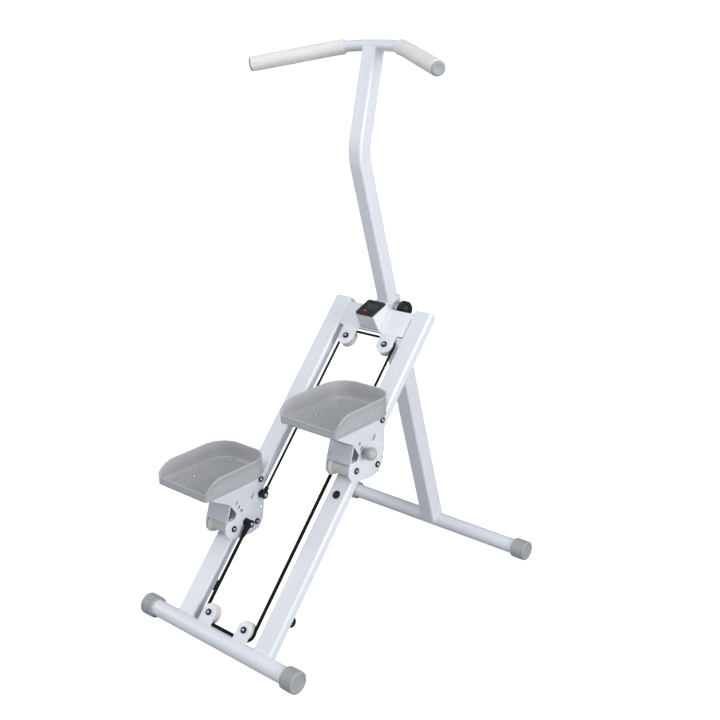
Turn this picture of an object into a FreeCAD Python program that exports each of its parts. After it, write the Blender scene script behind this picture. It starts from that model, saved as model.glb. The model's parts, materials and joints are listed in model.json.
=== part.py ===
"""Inclined-rail stepper: two pedal carriages run up and down two sloping rails, joined by a cable loop,
and a folding rear leg carries a telescoping handle post.

Row frame: +X is the user's right, +Y the way the user faces, +Z up.  The origin is on the floor,
under the middle of the whole machine.  Millimetres.
"""

import FreeCAD, Part
import math
import os

import Sketcher

V = FreeCAD.Vector
X_AXIS = V(1, 0, 0)

doc = FreeCAD.newDocument("stepper")

# ---------------------------------------------------------------- driving dimensions

DIMENSIONS = {
    # base tubes and their end caps
    "incline": 49.0,  # slope of the rails, degrees from the floor
    "leg_lean": 17.22,  # lean of the rear leg, degrees from upright
    "base_half_span": 398.0,  # from the origin to each base tube's axis
    "axis_height": 25.0,  # height of the base tubes' axes over the floor
    "base_diameter": 38.0,
    "base_wall": 2.0,
    "near_base_width": 490.0,
    "far_base_width": 614.0,
    "cap_radius": 25.5,
    "near_cap_length": 35.0,
    "far_cap_length": 38.0,
    "cap_end": 5.0,
    # rails: s runs up the slope, n stands off it towards the user
    "rail_centre": 124.0,
    "rail_width": 50.0,
    "rail_depth": 25.0,
    "rail_wall": 2.0,
    "rail_corner": 6.0,
    "rail_front": 2.5,
    "rail_length": 868.0,
    "rail_cap": 2.0,
    "plug_radius": 9.0,
    "plug_place": 394.0,
    "stop_place": 103.0,
    "stop_radius": 14.0,
    "stop_length": 30.0,
    # cover between the rails, cross tube behind it, console
    "cover_low": 795.0,
    "cover_high": 860.0,
    "cover_thick": 3.0,
    "cross_low": 800.0,
    "cross_width": 45.0,
    "cross_depth": 20.0,
    "console_half": 29.0,
    "console_rise": 42.0,
    "display_width": 53.0,
    "display_length": 56.0,
    "display_thick": 6.0,
    "button_x": -4.0,
    # pulleys
    "pulley_radius": 22.5,
    "pulley_root": 16.7,
    "pulley_thick": 14.0,
    "pulley_bolt": 4.0,
    "upper_pulley_x": 60.0,
    "upper_pulley_s": 768.0,
    "upper_pulley_n": -9.0,
    "lower_pulley_x": 57.0,
    "lower_pulley_s": 44.0,
    "lower_pulley_n": -5.5,
    "ear_radius": 20.0,
    "ear_thick": 4.0,
    "cable_radius": 3.0,
    "rope_radius": 4.0,
    # carriages, upright axes, origin on the rail's middle line beside the front roller
    "left_place": 234.0,
    "right_place": 456.0,
    "plate_outer": 35.0,
    "plate_thick": 3.0,
    "roller_stand_off": 20.2,
    "rear_roller_rise": 42.5,
    "roller_waist": 17.2,
    "roller_flange": 24.0,
    "roller_half": 30.0,
    "axle_radius": 5.0,
    "pivot_y": 74.8,
    "pivot_z": 108.2,
    "pivot_radius": 5.0,
    "arc_radius": 85.5,
    "arc_rest": 42.4,
    "arc_step": 9.5,
    "pin_radius": 3.5,
    # pedals
    "pedal_floor": 132.4,
    "pedal_pitch": 1.9,
    "pedal_width": 166.0,
    "pedal_shift": -4.0,
    "pedal_heel": -131.5,
    "pedal_toe": 71.0,
    "pedal_height": 47.0,
    "pedal_heel_rise": 17.0,
    "pedal_wall": 4.0,
    "pedal_tread": 5.0,
    "pedal_toe_corner": 56.0,
    "pedal_heel_corner": 10.0,
    "pedal_sweep": 60.0,
    "cradle_half": 30.5,
    # rear leg, post, handlebar
    "leg_size": 45.0,
    "leg_corner": 5.0,
    "leg_wall": 2.0,
    "leg_length": 694.0,
    "knob_drop": 18.0,
    "knob_shank": 4.0,
    "collar_thick": 6.0,
    "post_size": 38.0,
    "post_corner": 6.0,
    "post_wall": 2.0,
    "post_foot": 484.0,
    "post_bend_place": 1073.0,
    "post_bend": 30.32,
    "post_bend_radius": 120.0,
    "post_upper": 238.0,
    "bar_diameter": 25.0,
    "bar_wall": 1.5,
    "bar_straight": 33.0,
    "bar_bend_radius": 130.0,
    "bar_bend": 33.6,
    "bar_half": 266.0,
    "bar_slope": 19.0,
    "grip_diameter": 34.0,
    "grip_start": 78.0,
    # fold hinge
    "fold_s": 824.0,
    "fold_n": -40.0,
    "fold_pin": 5.0,
    "lug_radius": 12.0,
}

dims = doc.addObject("Spreadsheet::Sheet", "Dims")
for row, (alias, value) in enumerate(DIMENSIONS.items(), start=1):
    dims.set(f"A{row}", alias)
    dims.set(f"B{row}", str(value))
    dims.setAlias(f"B{row}", alias)
doc.recompute()


def cell(alias):
    """The sheet's value, for places that are worked out rather than bound."""
    return float(getattr(dims, alias))


def value_of(formula):
    """A formula's value in millimetres or degrees, as the sheet works it out."""
    result = dims.evalExpression(str(formula))
    return float(getattr(result, "Value", result))


SIDES = (("left", -1), ("right", 1))

# ---------------------------------------------------------------- placements

NEAR_AXIS = V(0, -cell("base_half_span"), cell("axis_height"))
FAR_AXIS = V(0, cell("base_half_span"), cell("axis_height"))
INCLINE = FreeCAD.Placement(NEAR_AXIS, FreeCAD.Rotation(X_AXIS, cell("incline")))
LEG = FreeCAD.Placement(FAR_AXIS, FreeCAD.Rotation(X_AXIS, cell("leg_lean")))

ALONG_X = FreeCAD.Rotation(V(0, 1, 0), 90)
ALONG_Y = FreeCAD.Rotation(X_AXIS, -90)
UPRIGHT = FreeCAD.Rotation()


def moved(x=0, y=0, z=0, rotation=UPRIGHT):
    return FreeCAD.Placement(V(x, y, z), rotation)


def on_slope(x=0, s=0, n=0, rotation=UPRIGHT):
    """A placement in the rails' frame: x across, s up the slope, n off it."""
    return INCLINE * moved(x, s, n, rotation)


def slope_to_upright(s, n):
    """Upright y and z of a point that is s up and n off the slope."""
    angle = math.radians(cell("incline"))
    y = s * math.cos(angle) - n * math.sin(angle)
    z = s * math.sin(angle) + n * math.cos(angle)
    return y, z


def carriage_frame(side):
    """Upright placement of one carriage."""
    name, sign = side
    y, z = slope_to_upright(cell(f"{name}_place"), 0)
    return FreeCAD.Placement(NEAR_AXIS + V(sign * cell("rail_centre"), y, z), UPRIGHT)


def pedal_frame(side):
    """The carriage's frame pitched about the pedal's heel, so that the toe is a little higher."""
    heel = V(0, cell("pedal_heel"), cell("pedal_floor"))
    pitch = FreeCAD.Placement(heel, FreeCAD.Rotation(X_AXIS, cell("pedal_pitch")))
    return carriage_frame(side) * pitch * FreeCAD.Placement(-heel, UPRIGHT)


def turned(placement, sign):
    """The placement turned half round about +Z for the left side, so one shape serves both."""
    if sign > 0:
        return placement
    return placement * moved(rotation=FreeCAD.Rotation(V(0, 0, 1), 180))


# ---------------------------------------------------------------- modelling helpers

NODES = []


def keep(feature):
    """Puts a finished object on the list of sub-parts; its Label is its name."""
    NODES.append(feature)
    return feature


def bind(feature, **formulas):
    for key, formula in formulas.items():
        feature.setExpression(key.replace("__", "."), formula)


def named(word):
    """The formula with every alias given its sheet's name."""
    pieces = []
    token = ""
    for char in str(word) + " ":
        if char.isalnum() or char == "_":
            token += char
            continue
        pieces.append(f"Dims.{token}" if token in DIMENSIONS else token)
        pieces.append(char)
        token = ""
    return "".join(pieces).strip()


def new_body(label, placement):
    body = doc.addObject("PartDesign::Body", label)
    body.Label = label
    body.Placement = placement
    return body


def new_sketch(body, role, name, offset=None):
    """An empty sketch on one of the body's own origin planes, or off it by a formula."""
    sketch = body.newObject("Sketcher::SketchObject", name)
    plane = [item for item in body.Origin.OriginFeatures if item.Role == role][0]
    sketch.AttachmentSupport = [(plane, "")]
    sketch.MapMode = "FlatFace"
    if offset is not None:
        sketch.setExpression("AttachmentOffset.Base.z", named(offset))
    return sketch


def size(sketch, kind, where, formula):
    """A dimension constraint bound to a formula."""
    index = sketch.addConstraint(Sketcher.Constraint(kind, *where, abs(value_of(formula))))
    sketch.setExpression(f"Constraints[{index}]", named(formula))


def pin_point(sketch, item, end, x, y):
    """Holds a point of the sketch at formulas x and y."""
    for kind, formula in (("DistanceX", x), ("DistanceY", y)):
        value = value_of(formula)
        index = sketch.addConstraint(Sketcher.Constraint(kind, -1, 1, item, end, value))
        sketch.setExpression(f"Constraints[{index}]", named(formula))


def circle(sketch, x, y, radius):
    centre = V(value_of(x), value_of(y), 0)
    index = sketch.addGeometry(Part.Circle(centre, V(0, 0, 1), value_of(radius)))
    pin_point(sketch, index, 3, x, y)
    size(sketch, "Radius", (index,), radius)
    return index


def polygon(sketch, corners):
    """A closed outline of straight lines through corners, each a pair of formulas."""
    points = [V(value_of(x), value_of(y), 0) for x, y in corners]
    count = len(points)
    lines = [
        sketch.addGeometry(Part.LineSegment(points[i], points[(i + 1) % count])) for i in range(count)
    ]
    for i, line in enumerate(lines):
        sketch.addConstraint(Sketcher.Constraint("Coincident", line, 2, lines[(i + 1) % count], 1))
        pin_point(sketch, line, 1, *corners[i])
    return lines


def rectangle(sketch, x, y, width, depth):
    """A rectangle centred on (x, y)."""
    left, right = f"{x} - ({width}) / 2", f"{x} + ({width}) / 2"
    low, high = f"{y} - ({depth}) / 2", f"{y} + ({depth}) / 2"
    return polygon(sketch, [(left, low), (right, low), (right, high), (left, high)])


def rounded_outline(sketch, corners):
    """A closed outline through corners (x, y, radius); a radius of 0 leaves the corner sharp."""
    count = len(corners)
    runs = []
    for i, (x, y, radius) in enumerate(corners):
        here = V(x, y, 0)
        back = (V(*corners[i - 1][:2], 0) - here).normalize()
        ahead = (V(*corners[(i + 1) % count][:2], 0) - here).normalize()
        if radius == 0:
            runs.append((here, None, here))
            continue
        half = back.getAngle(ahead) / 2
        reach = radius / math.tan(half)
        middle = here + (back + ahead).normalize() * (radius / math.sin(half) - radius)
        runs.append((here + back * reach, middle, here + ahead * reach))
    items = []
    for i, (start, middle, end) in enumerate(runs):
        if middle is not None:
            items.append(Part.Arc(start, middle, end))
        following = runs[(i + 1) % count][0]
        if end.distanceToPoint(following) > 1e-6:
            items.append(Part.LineSegment(end, following))
    for item in items:
        index = sketch.addGeometry(item)
        sketch.addConstraint(Sketcher.Constraint("Block", index))


def pad(body, sketch, length, both_ways=False, reverse=False, kind="Pad"):
    """A pad or a pocket of a formula's length."""
    feature = body.newObject(f"PartDesign::{kind}", kind)
    feature.Profile = sketch
    feature.Length = value_of(length)
    feature.setExpression("Length", named(length))
    feature.Midplane = both_ways
    feature.Reversed = reverse
    return feature


def pocket(body, sketch, length, both_ways=False, reverse=False):
    doc.recompute()
    before = body.Shape.Volume
    feature = pad(body, sketch, length, both_ways, reverse, kind="Pocket")
    doc.recompute()
    if body.Shape.Volume > before - 1e-3:
        raise RuntimeError(f"{body.Label}: {feature.Name} cuts nothing")
    return feature


def edges_where(body, test):
    """Names of the tip's straight or round edges that pass a test of (edge, middle)."""
    doc.recompute()
    found = []
    for number, edge in enumerate(body.Tip.Shape.Edges, start=1):
        middle = edge.valueAt((edge.FirstParameter + edge.LastParameter) / 2)
        if test(edge, middle):
            found.append(f"Edge{number}")
    return found


def straight_along(edge, axis):
    if not isinstance(edge.Curve, Part.Line):
        return False
    return abs(abs(edge.Curve.Direction.dot(axis)) - 1) < 1e-6


def fillet(body, radius, test, kind="Fillet"):
    """Rounds or chamfers the tip's edges that pass the test."""
    chosen = edges_where(body, test)
    base = body.Tip
    feature = body.newObject(f"PartDesign::{kind}", kind)
    feature.Base = (base, chosen)
    key = "Radius" if kind == "Fillet" else "Size"
    feature.setExpression(key, named(radius))
    doc.recompute()
    if not chosen or {"Invalid", "Error"} & set(feature.State):
        raise RuntimeError(f"{body.Label}: {feature.Name} on {chosen} did not build")
    return feature


def square_tube(label, placement, width, depth, wall, corner, start, length):
    """A rectangular tube with round corners, its long way along local +Z."""
    body = new_body(label, placement)
    outer = new_sketch(body, "XY_Plane", f"{label}_outer", offset=start)
    rectangle(outer, 0, 0, width, depth)
    pad(body, outer, length)
    fillet(body, corner, lambda edge, middle: straight_along(edge, V(0, 0, 1)))
    inner = new_sketch(body, "XY_Plane", f"{label}_inner", offset=start)
    rectangle(inner, 0, 0, f"{width} - 2 * {wall}", f"{depth} - 2 * {wall}")
    pocket(body, inner, length, reverse=True)
    fillet(
        body,
        f"{corner} - {wall}",
        lambda edge, middle: straight_along(edge, V(0, 0, 1))
        and abs(middle.x) < value_of(width) / 2 - value_of(wall) + 0.01
        and abs(middle.y) < value_of(depth) / 2 - value_of(wall) + 0.01
        and abs(middle.x) > value_of(width) / 2 - value_of(wall) - 0.01
        and abs(middle.y) > value_of(depth) / 2 - value_of(wall) - 0.01,
    )
    return body


def cylinder(name, placement, radius, length):
    """A Part cylinder along local +Z."""
    shape = doc.addObject("Part::Cylinder", name)
    shape.Placement = placement
    shape.setExpression("Radius", named(radius))
    shape.setExpression("Height", named(length))
    return shape


def joined(label, *shapes):
    result = doc.addObject("Part::MultiFuse", label)
    result.Label = label
    result.Shapes = list(shapes)
    return result


def group(label, pieces):
    """Identical or paired pieces kept as separate solids of one sub-part."""
    result = doc.addObject("Part::Compound", label)
    result.Label = label
    result.Links = pieces
    return keep(result)


def cut(label, base, tool):
    result = doc.addObject("Part::Cut", label)
    result.Label = label
    result.Base = base
    result.Tool = tool
    return result


def revolved(label, placement, outline, role="XZ_Plane", axis="V_Axis"):
    """A solid turned about the sketch's upright axis; outline is (radius, along) formulas."""
    body = new_body(label, placement)
    profile = new_sketch(body, role, f"{label}_profile")
    polygon(profile, outline)
    feature = body.newObject("PartDesign::Revolution", "Revolution")
    feature.Profile = profile
    feature.ReferenceAxis = (profile, [axis])
    feature.Angle = 360
    return body


def swept(label, placement, path, section):
    """A profile carried along a path of edges in the local YZ or XY plane.

    path is a Part.Wire of straight runs and tangent arcs; section is the closed wire at its start.
    """
    feature = doc.addObject("Part::Feature", label)
    feature.Label = label
    shell = Part.BRepOffsetAPI.MakePipeShell(path)
    shell.setTransitionMode(0)
    shell.add(section, False, True)
    shell.build()
    shell.makeSolid()
    feature.Shape = shell.shape()
    feature.Placement = placement
    return feature


# ---------------------------------------------------------------- base tubes and end caps


def base_tube(label, axis, width, cap_length):
    """The round tube on the floor; it stops inside its end caps."""
    length = f"{width} - 2 * cap_end - 2"
    start = moved(-value_of(length) / 2, axis.y, axis.z, ALONG_X)
    outside = cylinder(f"{label}_outside", start, "base_diameter / 2", length)
    inside = cylinder(f"{label}_inside", start, "base_diameter / 2 - base_wall", length)
    keep(cut(label, outside, inside))


def end_cap(label, axis, width, cap_length, sign):
    """A moulded cap: sleeve over the tube, closed end, small flat where it meets the floor."""
    turn = FreeCAD.Rotation() if sign > 0 else FreeCAD.Rotation(V(0, 0, 1), 180)
    body = new_body(label, FreeCAD.Placement(axis, turn))
    rim = f"{width} / 2 - {cap_length}"
    disc = new_sketch(body, "YZ_Plane", f"{label}_disc", offset=rim)
    circle(disc, 0, 0, "cap_radius")
    pad(body, disc, cap_length)
    outer_end = value_of(f"{width} / 2")
    fillet(body, "2.5", lambda edge, middle: abs(middle.x - outer_end) < 0.01, kind="Chamfer")
    bore = new_sketch(body, "YZ_Plane", f"{label}_bore", offset=rim)
    circle(bore, 0, 0, "base_diameter / 2")
    pocket(body, bore, f"{cap_length} - cap_end", reverse=True)
    foot = new_sketch(body, "YZ_Plane", f"{label}_foot", offset=rim)
    rectangle(foot, 0, "-axis_height - 5", "4 * cap_radius", "10")
    pocket(body, foot, cap_length, reverse=True)
    keep(body)


base_tube("near_base_tube", NEAR_AXIS, "near_base_width", "near_cap_length")
base_tube("far_base_tube", FAR_AXIS, "far_base_width", "far_cap_length")
for name, sign in SIDES:
    end_cap(f"near_cap_{name}", NEAR_AXIS, "near_base_width", "near_cap_length", sign)
    end_cap(f"far_cap_{name}", FAR_AXIS, "far_base_width", "far_cap_length", sign)

# ---------------------------------------------------------------- rails

RAIL_MIDDLE = cell("rail_front") - cell("rail_depth") / 2


def saddle(body, radius="base_diameter / 2", y=0, z=0):
    """Cuts the end of a tube to sit on a round tube that lies across it."""
    notch = new_sketch(body, "YZ_Plane", f"{body.Name}_saddle")
    circle(notch, y, z, radius)
    pocket(body, notch, 200, both_ways=True)


def rail(name, sign):
    turn = on_slope(sign * cell("rail_centre"), 0, RAIL_MIDDLE, ALONG_Y)
    body = square_tube(
        f"rail_{name}", turn, "rail_width", "rail_depth", "rail_wall", "rail_corner", 0, "rail_length"
    )
    # local +Y points into the slope, so the user's face of the rail is at local -Y
    saddle(body, y="rail_front - rail_depth / 2")
    hole = new_sketch(body, "XZ_Plane", f"rail_{name}_plug_hole")
    circle(hole, 0, "plug_place", "plug_radius")
    pocket(body, hole, "rail_depth", reverse=True)
    keep(body)


def rail_cap(name, sign):
    """The plastic plug that closes the top of a rail, flush with its sides."""
    turn = on_slope(sign * cell("rail_centre"), 0, RAIL_MIDDLE, ALONG_Y)
    body = new_body(f"rail_cap_{name}", turn)
    lid = new_sketch(body, "XY_Plane", f"rail_cap_{name}_lid", offset="rail_length")
    rectangle(lid, 0, 0, "rail_width", "rail_depth")
    pad(body, lid, "rail_cap")
    fillet(body, "rail_corner", lambda edge, middle: straight_along(edge, V(0, 0, 1)))
    tongue = new_sketch(body, "XY_Plane", f"rail_cap_{name}_tongue", offset="rail_length")
    rectangle(tongue, 0, 0, "rail_width - 2 * rail_wall - 5", "rail_depth - 2 * rail_wall - 5")
    pad(body, tongue, 12, reverse=True)
    keep(body)


def rail_plug(name, sign):
    """A flat round plug in the rail's front wall."""
    place = on_slope(sign * cell("rail_centre"), cell("plug_place"), cell("rail_front") - 6.0)
    return cylinder(f"rail_plug_{name}", place, "plug_radius", 6.0)


def rail_stop(name, sign):
    """A domed rubber stop behind the rail, where the carriage's rear roller comes down on it."""
    low = "-stop_length"
    outline = [
        ("0", low),
        ("stop_radius * 0.45", low),
        ("stop_radius * 0.85", f"{low} + 3"),
        ("stop_radius", f"{low} + 8"),
        ("stop_radius", "0"),
        ("0", "0"),
    ]
    back = cell("rail_front") - cell("rail_depth")
    place = on_slope(sign * cell("rail_centre"), cell("stop_place"), back)
    keep(revolved(f"rail_stop_{name}", place, outline))


for name, sign in SIDES:
    rail(name, sign)
    rail_cap(name, sign)
    rail_stop(name, sign)
group("rail_plugs", [rail_plug(name, sign) for name, sign in SIDES])

# ---------------------------------------------------------------- cover, cross tube, console


def cover_plate():
    """Pressed plate between the rails, with two ears that carry the upper pulleys."""
    body = new_body("cover_plate", INCLINE)
    edge = "rail_centre - rail_width / 2"
    ear = "pulley_radius"
    sheet = new_sketch(body, "XY_Plane", "cover_sheet", offset="rail_front - cover_thick")
    polygon(
        sheet,
        [
            (f"-({edge})", "cover_low"),
            (f"-upper_pulley_x - {ear}", "cover_low"),
            (f"-upper_pulley_x - {ear}", f"upper_pulley_s - {ear}"),
            (f"-upper_pulley_x + {ear}", f"upper_pulley_s - {ear}"),
            (f"-upper_pulley_x + {ear}", "cover_low"),
            (f"upper_pulley_x - {ear}", "cover_low"),
            (f"upper_pulley_x - {ear}", f"upper_pulley_s - {ear}"),
            (f"upper_pulley_x + {ear}", f"upper_pulley_s - {ear}"),
            (f"upper_pulley_x + {ear}", "cover_low"),
            (edge, "cover_low"),
            (edge, "cover_high"),
            (f"-({edge})", "cover_high"),
        ],
    )
    pad(body, sheet, "cover_thick")
    low = value_of(f"upper_pulley_s - {ear}")
    fillet(
        body,
        "pulley_radius - 0.5",
        lambda edge, middle: straight_along(edge, V(0, 0, 1)) and abs(middle.y - low) < 0.01,
    )
    lip = new_sketch(body, "XY_Plane", "cover_lip", offset="rail_front - cover_thick")
    rectangle(lip, 0, "cover_high - cover_thick / 2", f"2 * ({edge})", "cover_thick")
    pad(body, lip, 5, reverse=True)
    holes = new_sketch(body, "XY_Plane", "cover_bolt_holes", offset="rail_front - cover_thick")
    for sign in (-1, 1):
        circle(holes, f"{sign} * upper_pulley_x", "upper_pulley_s", "pulley_bolt")
    pocket(body, holes, "cover_thick", reverse=True)
    keep(body)


def cross_tube():
    """The tube that ties the rails together behind the cover."""
    start = -value_of("rail_centre - rail_width / 2")
    middle_s = cell("cross_low") + cell("cross_width") / 2
    middle_n = value_of("rail_front - rail_depth + cross_depth / 2")
    turn = on_slope(start, middle_s, middle_n, ALONG_X)
    keep(
        square_tube(
            "cross_tube",
            turn,
            "cross_depth",
            "cross_width",
            "rail_wall",
            "4",
            0,
            "2 * (rail_centre - rail_width / 2)",
        )
    )


def console_shell():
    """The wedge that lifts the display off the cover, open underneath."""
    body = new_body("console_shell", INCLINE)
    side = new_sketch(body, "YZ_Plane", "console_side")
    polygon(
        side,
        [
            ("cover_low + 1", "rail_front"),
            ("cover_high + 2", "rail_front"),
            ("cover_high + 6", "rail_front + 15"),
            ("cover_low + 17", "rail_front + console_rise"),
        ],
    )
    pad(body, side, "2 * console_half", both_ways=True)
    front = value_of("cover_low + 17")
    fillet(body, "2", lambda edge, middle: abs(abs(middle.x) - 29.0) < 0.01 and middle.z > 5.0)
    hollow = new_sketch(body, "YZ_Plane", "console_hollow")
    polygon(
        hollow,
        [
            ("cover_low + 4", "rail_front - 1"),
            ("cover_high - 1", "rail_front - 1"),
            ("cover_high + 1", "rail_front + 10"),
            ("cover_low + 18", "rail_front + console_rise - 8"),
        ],
    )
    pocket(body, hollow, "2 * console_half - 6", both_ways=True)
    keep(body)


def display():
    """Black display on the wedge's sloping top, its window, and the button's well."""
    low_y, low_z = cell("cover_low") + 17, cell("rail_front") + cell("console_rise")
    high_y, high_z = cell("cover_high") + 6, cell("rail_front") + 15
    tilt = math.degrees(math.atan2(high_z - low_z, high_y - low_y))
    top = INCLINE * moved(0, low_y, low_z, FreeCAD.Rotation(X_AXIS, tilt))
    body = new_body("display_housing", top)
    plate = new_sketch(body, "XY_Plane", "display_plate")
    rectangle(plate, 0, "display_length / 2 - 0.5", "display_width", "display_length")
    pad(body, plate, "display_thick")
    fillet(body, "4", lambda edge, middle: straight_along(edge, V(0, 0, 1)))
    height = cell("display_thick")
    fillet(body, "1.2", lambda edge, middle: abs(middle.z - height) < 0.01)
    window = new_sketch(body, "XY_Plane", "display_recess", offset="display_thick - 1.5")
    rectangle(window, 2, "display_length * 0.58", 34, 20)
    pocket(body, window, 5, reverse=True)
    well = new_sketch(body, "XY_Plane", "display_well", offset="display_thick - 4.2")
    circle(well, "button_x", "display_length * 0.22", 4.4)
    pocket(body, well, 5, reverse=True)
    keep(body)

    glass = doc.addObject("Part::Box", "display_window")
    glass.Label = "display_window"
    glass.Length, glass.Width, glass.Height = 34, 20, 1.2
    middle = cell("display_length") * 0.58
    glass.Placement = top * moved(2 - 17, middle - 10, height - 1.5)
    keep(glass)

    place = top * moved(cell("button_x"), cell("display_length") * 0.22, height - 2.6)
    button = cylinder("reset_button", place, 4.0, 3.8)
    button.Label = "reset_button"
    keep(button)


cover_plate()
cross_tube()
console_shell()
display()

# ---------------------------------------------------------------- pulleys, ears, bolts, cables


def lower_ear(name, sign):
    """A plate welded on the near base tube that holds a lower pulley's bolt."""
    body = new_body(f"pulley_ear_{name}", INCLINE)
    front = "lower_pulley_n + pulley_thick / 2 + 1"
    plate = new_sketch(body, "XY_Plane", f"pulley_ear_{name}_plate", offset=front)
    middle = f"{sign} * lower_pulley_x"
    polygon(
        plate,
        [
            (f"{middle} - ear_radius", 10),
            (f"{middle} + ear_radius", 10),
            (f"{middle} + ear_radius", "lower_pulley_s + ear_radius"),
            (f"{middle} - ear_radius", "lower_pulley_s + ear_radius"),
        ],
    )
    pad(body, plate, "ear_thick")
    high = value_of("lower_pulley_s + ear_radius")
    fillet(
        body,
        "ear_radius - 0.5",
        lambda edge, middle: straight_along(edge, V(0, 0, 1)) and abs(middle.y - high) < 0.01,
    )
    hole = new_sketch(body, "XY_Plane", f"pulley_ear_{name}_hole", offset=front)
    circle(hole, middle, "lower_pulley_s", "pulley_bolt")
    pocket(body, hole, "ear_thick", reverse=True)
    saddle(body)
    keep(body)


def pulley(label, x, s, n):
    half = "pulley_thick / 2"
    outline = [
        ("pulley_bolt + 0.05", f"-{half}"),
        ("pulley_radius", f"-{half}"),
        ("pulley_radius", f"-{half} + 1.2"),
        ("pulley_root + 1.4", "-4"),
        ("pulley_root", "-1.8"),
        ("pulley_root", "1.8"),
        ("pulley_root + 1.4", "4"),
        ("pulley_radius", f"{half} - 1.2"),
        ("pulley_radius", half),
        ("pulley_bolt + 0.05", half),
    ]
    keep(revolved(label, on_slope(x, s, n), outline))


def pulley_bolt(label, x, s, n, front):
    """Socket-head bolt through the ear and the pulley, with a nut behind; front is the ear's face."""
    back = n - cell("pulley_thick") / 2 - 1
    shank_start = back - 8
    head = cylinder(f"{label}_head", on_slope(x, s, front), 6.5, 5.0)
    socket = doc.addObject("Part::Prism", f"{label}_socket")
    socket.Polygon = 6
    socket.Circumradius = 3.4
    socket.Height = 4
    socket.Placement = on_slope(x, s, front + 2)
    shank = cylinder(f"{label}_shank", on_slope(x, s, shank_start), "pulley_bolt", front - shank_start)
    nut = doc.addObject("Part::Prism", f"{label}_nut")
    nut.Polygon = 6
    nut.Circumradius = 7.4
    nut.Height = 6.5
    nut.Placement = on_slope(x, s, back - 6.5)
    return cut(f"{label}", joined(f"{label}_body", head, shank, nut), socket)


UPPER = (cell("upper_pulley_x"), cell("upper_pulley_s"), cell("upper_pulley_n"))
LOWER = (cell("lower_pulley_x"), cell("lower_pulley_s"), cell("lower_pulley_n"))
bolts = []
for name, sign in SIDES:
    lower_ear(name, sign)
    pulley(f"upper_pulley_{name}", sign * UPPER[0], UPPER[1], UPPER[2])
    pulley(f"lower_pulley_{name}", sign * LOWER[0], LOWER[1], LOWER[2])
    ear_face = LOWER[2] + cell("pulley_thick") / 2 + 1 + cell("ear_thick")
    bolts.append(pulley_bolt(f"upper_bolt_{name}", sign * UPPER[0], UPPER[1], UPPER[2], cell("rail_front")))
    bolts.append(pulley_bolt(f"lower_bolt_{name}", sign * LOWER[0], LOWER[1], LOWER[2], ear_face))
group("pulley_bolts", bolts)

CABLE_RUN = 20.0  # radius of the cable's middle line round an upper pulley
ROPE_RUN = 21.0  # and of the rope's, round a lower one
CABLE_ANCHOR = (102.9, -9.0)  # s and n of the cable's anchor from the carriage's origin
ROPE_ANCHOR = (28.0, -5.5)
SLEEVE_LENGTH = 34.0


def loop_half(label, sign, radius, pulley_place, run, far_s, upward):
    """Half a loop: straight span beside the rail, quarter turn round the pulley, half the bridge."""
    x, s, n = pulley_place
    outer_x = sign * (x + run)
    span_length = abs(far_s - s)
    span = cylinder(f"{label}_span", on_slope(outer_x, min(far_s, s), n, ALONG_Y), radius, span_length)
    bend = doc.addObject("Part::Torus", f"{label}_bend")
    bend.Radius1 = run
    bend.setExpression("Radius2", named(radius))
    bend.Angle3 = 90
    quarter = {(1, True): 0, (-1, True): 90, (-1, False): 180, (1, False): 270}[(sign, upward)]
    bend.Placement = on_slope(sign * x, s, n, FreeCAD.Rotation(V(0, 0, 1), quarter))
    bridge_s = s + run if upward else s - run
    bridge = cylinder(f"{label}_bridge", on_slope(min(0, sign * x), bridge_s, n, ALONG_X), radius, x)
    keep(joined(label, span, bend, bridge))


for name, sign in SIDES:
    carriage_s = cell(f"{name}_place")
    cable_end = carriage_s + CABLE_ANCHOR[0] + 20.3
    rope_end = carriage_s + ROPE_ANCHOR[0] - SLEEVE_LENGTH - 0.3
    loop_half(f"upper_cable_{name}", sign, "cable_radius", UPPER, CABLE_RUN, cable_end, True)
    loop_half(f"lower_rope_{name}", sign, "rope_radius", LOWER, ROPE_RUN, rope_end, False)

# ---------------------------------------------------------------- carriages


def arc_point(angle, radius="arc_radius"):
    """Formulas of a point on the tilt arc, angle degrees below the pivot's level, heel side."""
    y = f"pivot_y - ({radius}) * cos({angle} * 1deg)"
    z = f"pivot_z - ({radius}) * sin({angle} * 1deg)"
    return y, z


FRONT_AXLE = slope_to_upright(0, cell("roller_stand_off"))
REAR_STAND_OFF = RAIL_MIDDLE * 2 - cell("roller_stand_off")
REAR_AXLE = slope_to_upright(cell("rear_roller_rise"), REAR_STAND_OFF)
CABLE_POINT = slope_to_upright(*CABLE_ANCHOR)
ROPE_POINT = slope_to_upright(*ROPE_ANCHOR)

BRACKET_OUTLINE = [
    (-112, 126.5),
    (-112, 124),
    (-24, 76),
    (-39.5, 24),
    (-41, 6),
    (-28, -11),
    (0, -16),
    (38, -19),
    (64, -14),
    (79, 8),
    (83, 40),
    (84, 96),
    (84, 118),
    (78, 126.5),
]


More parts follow.
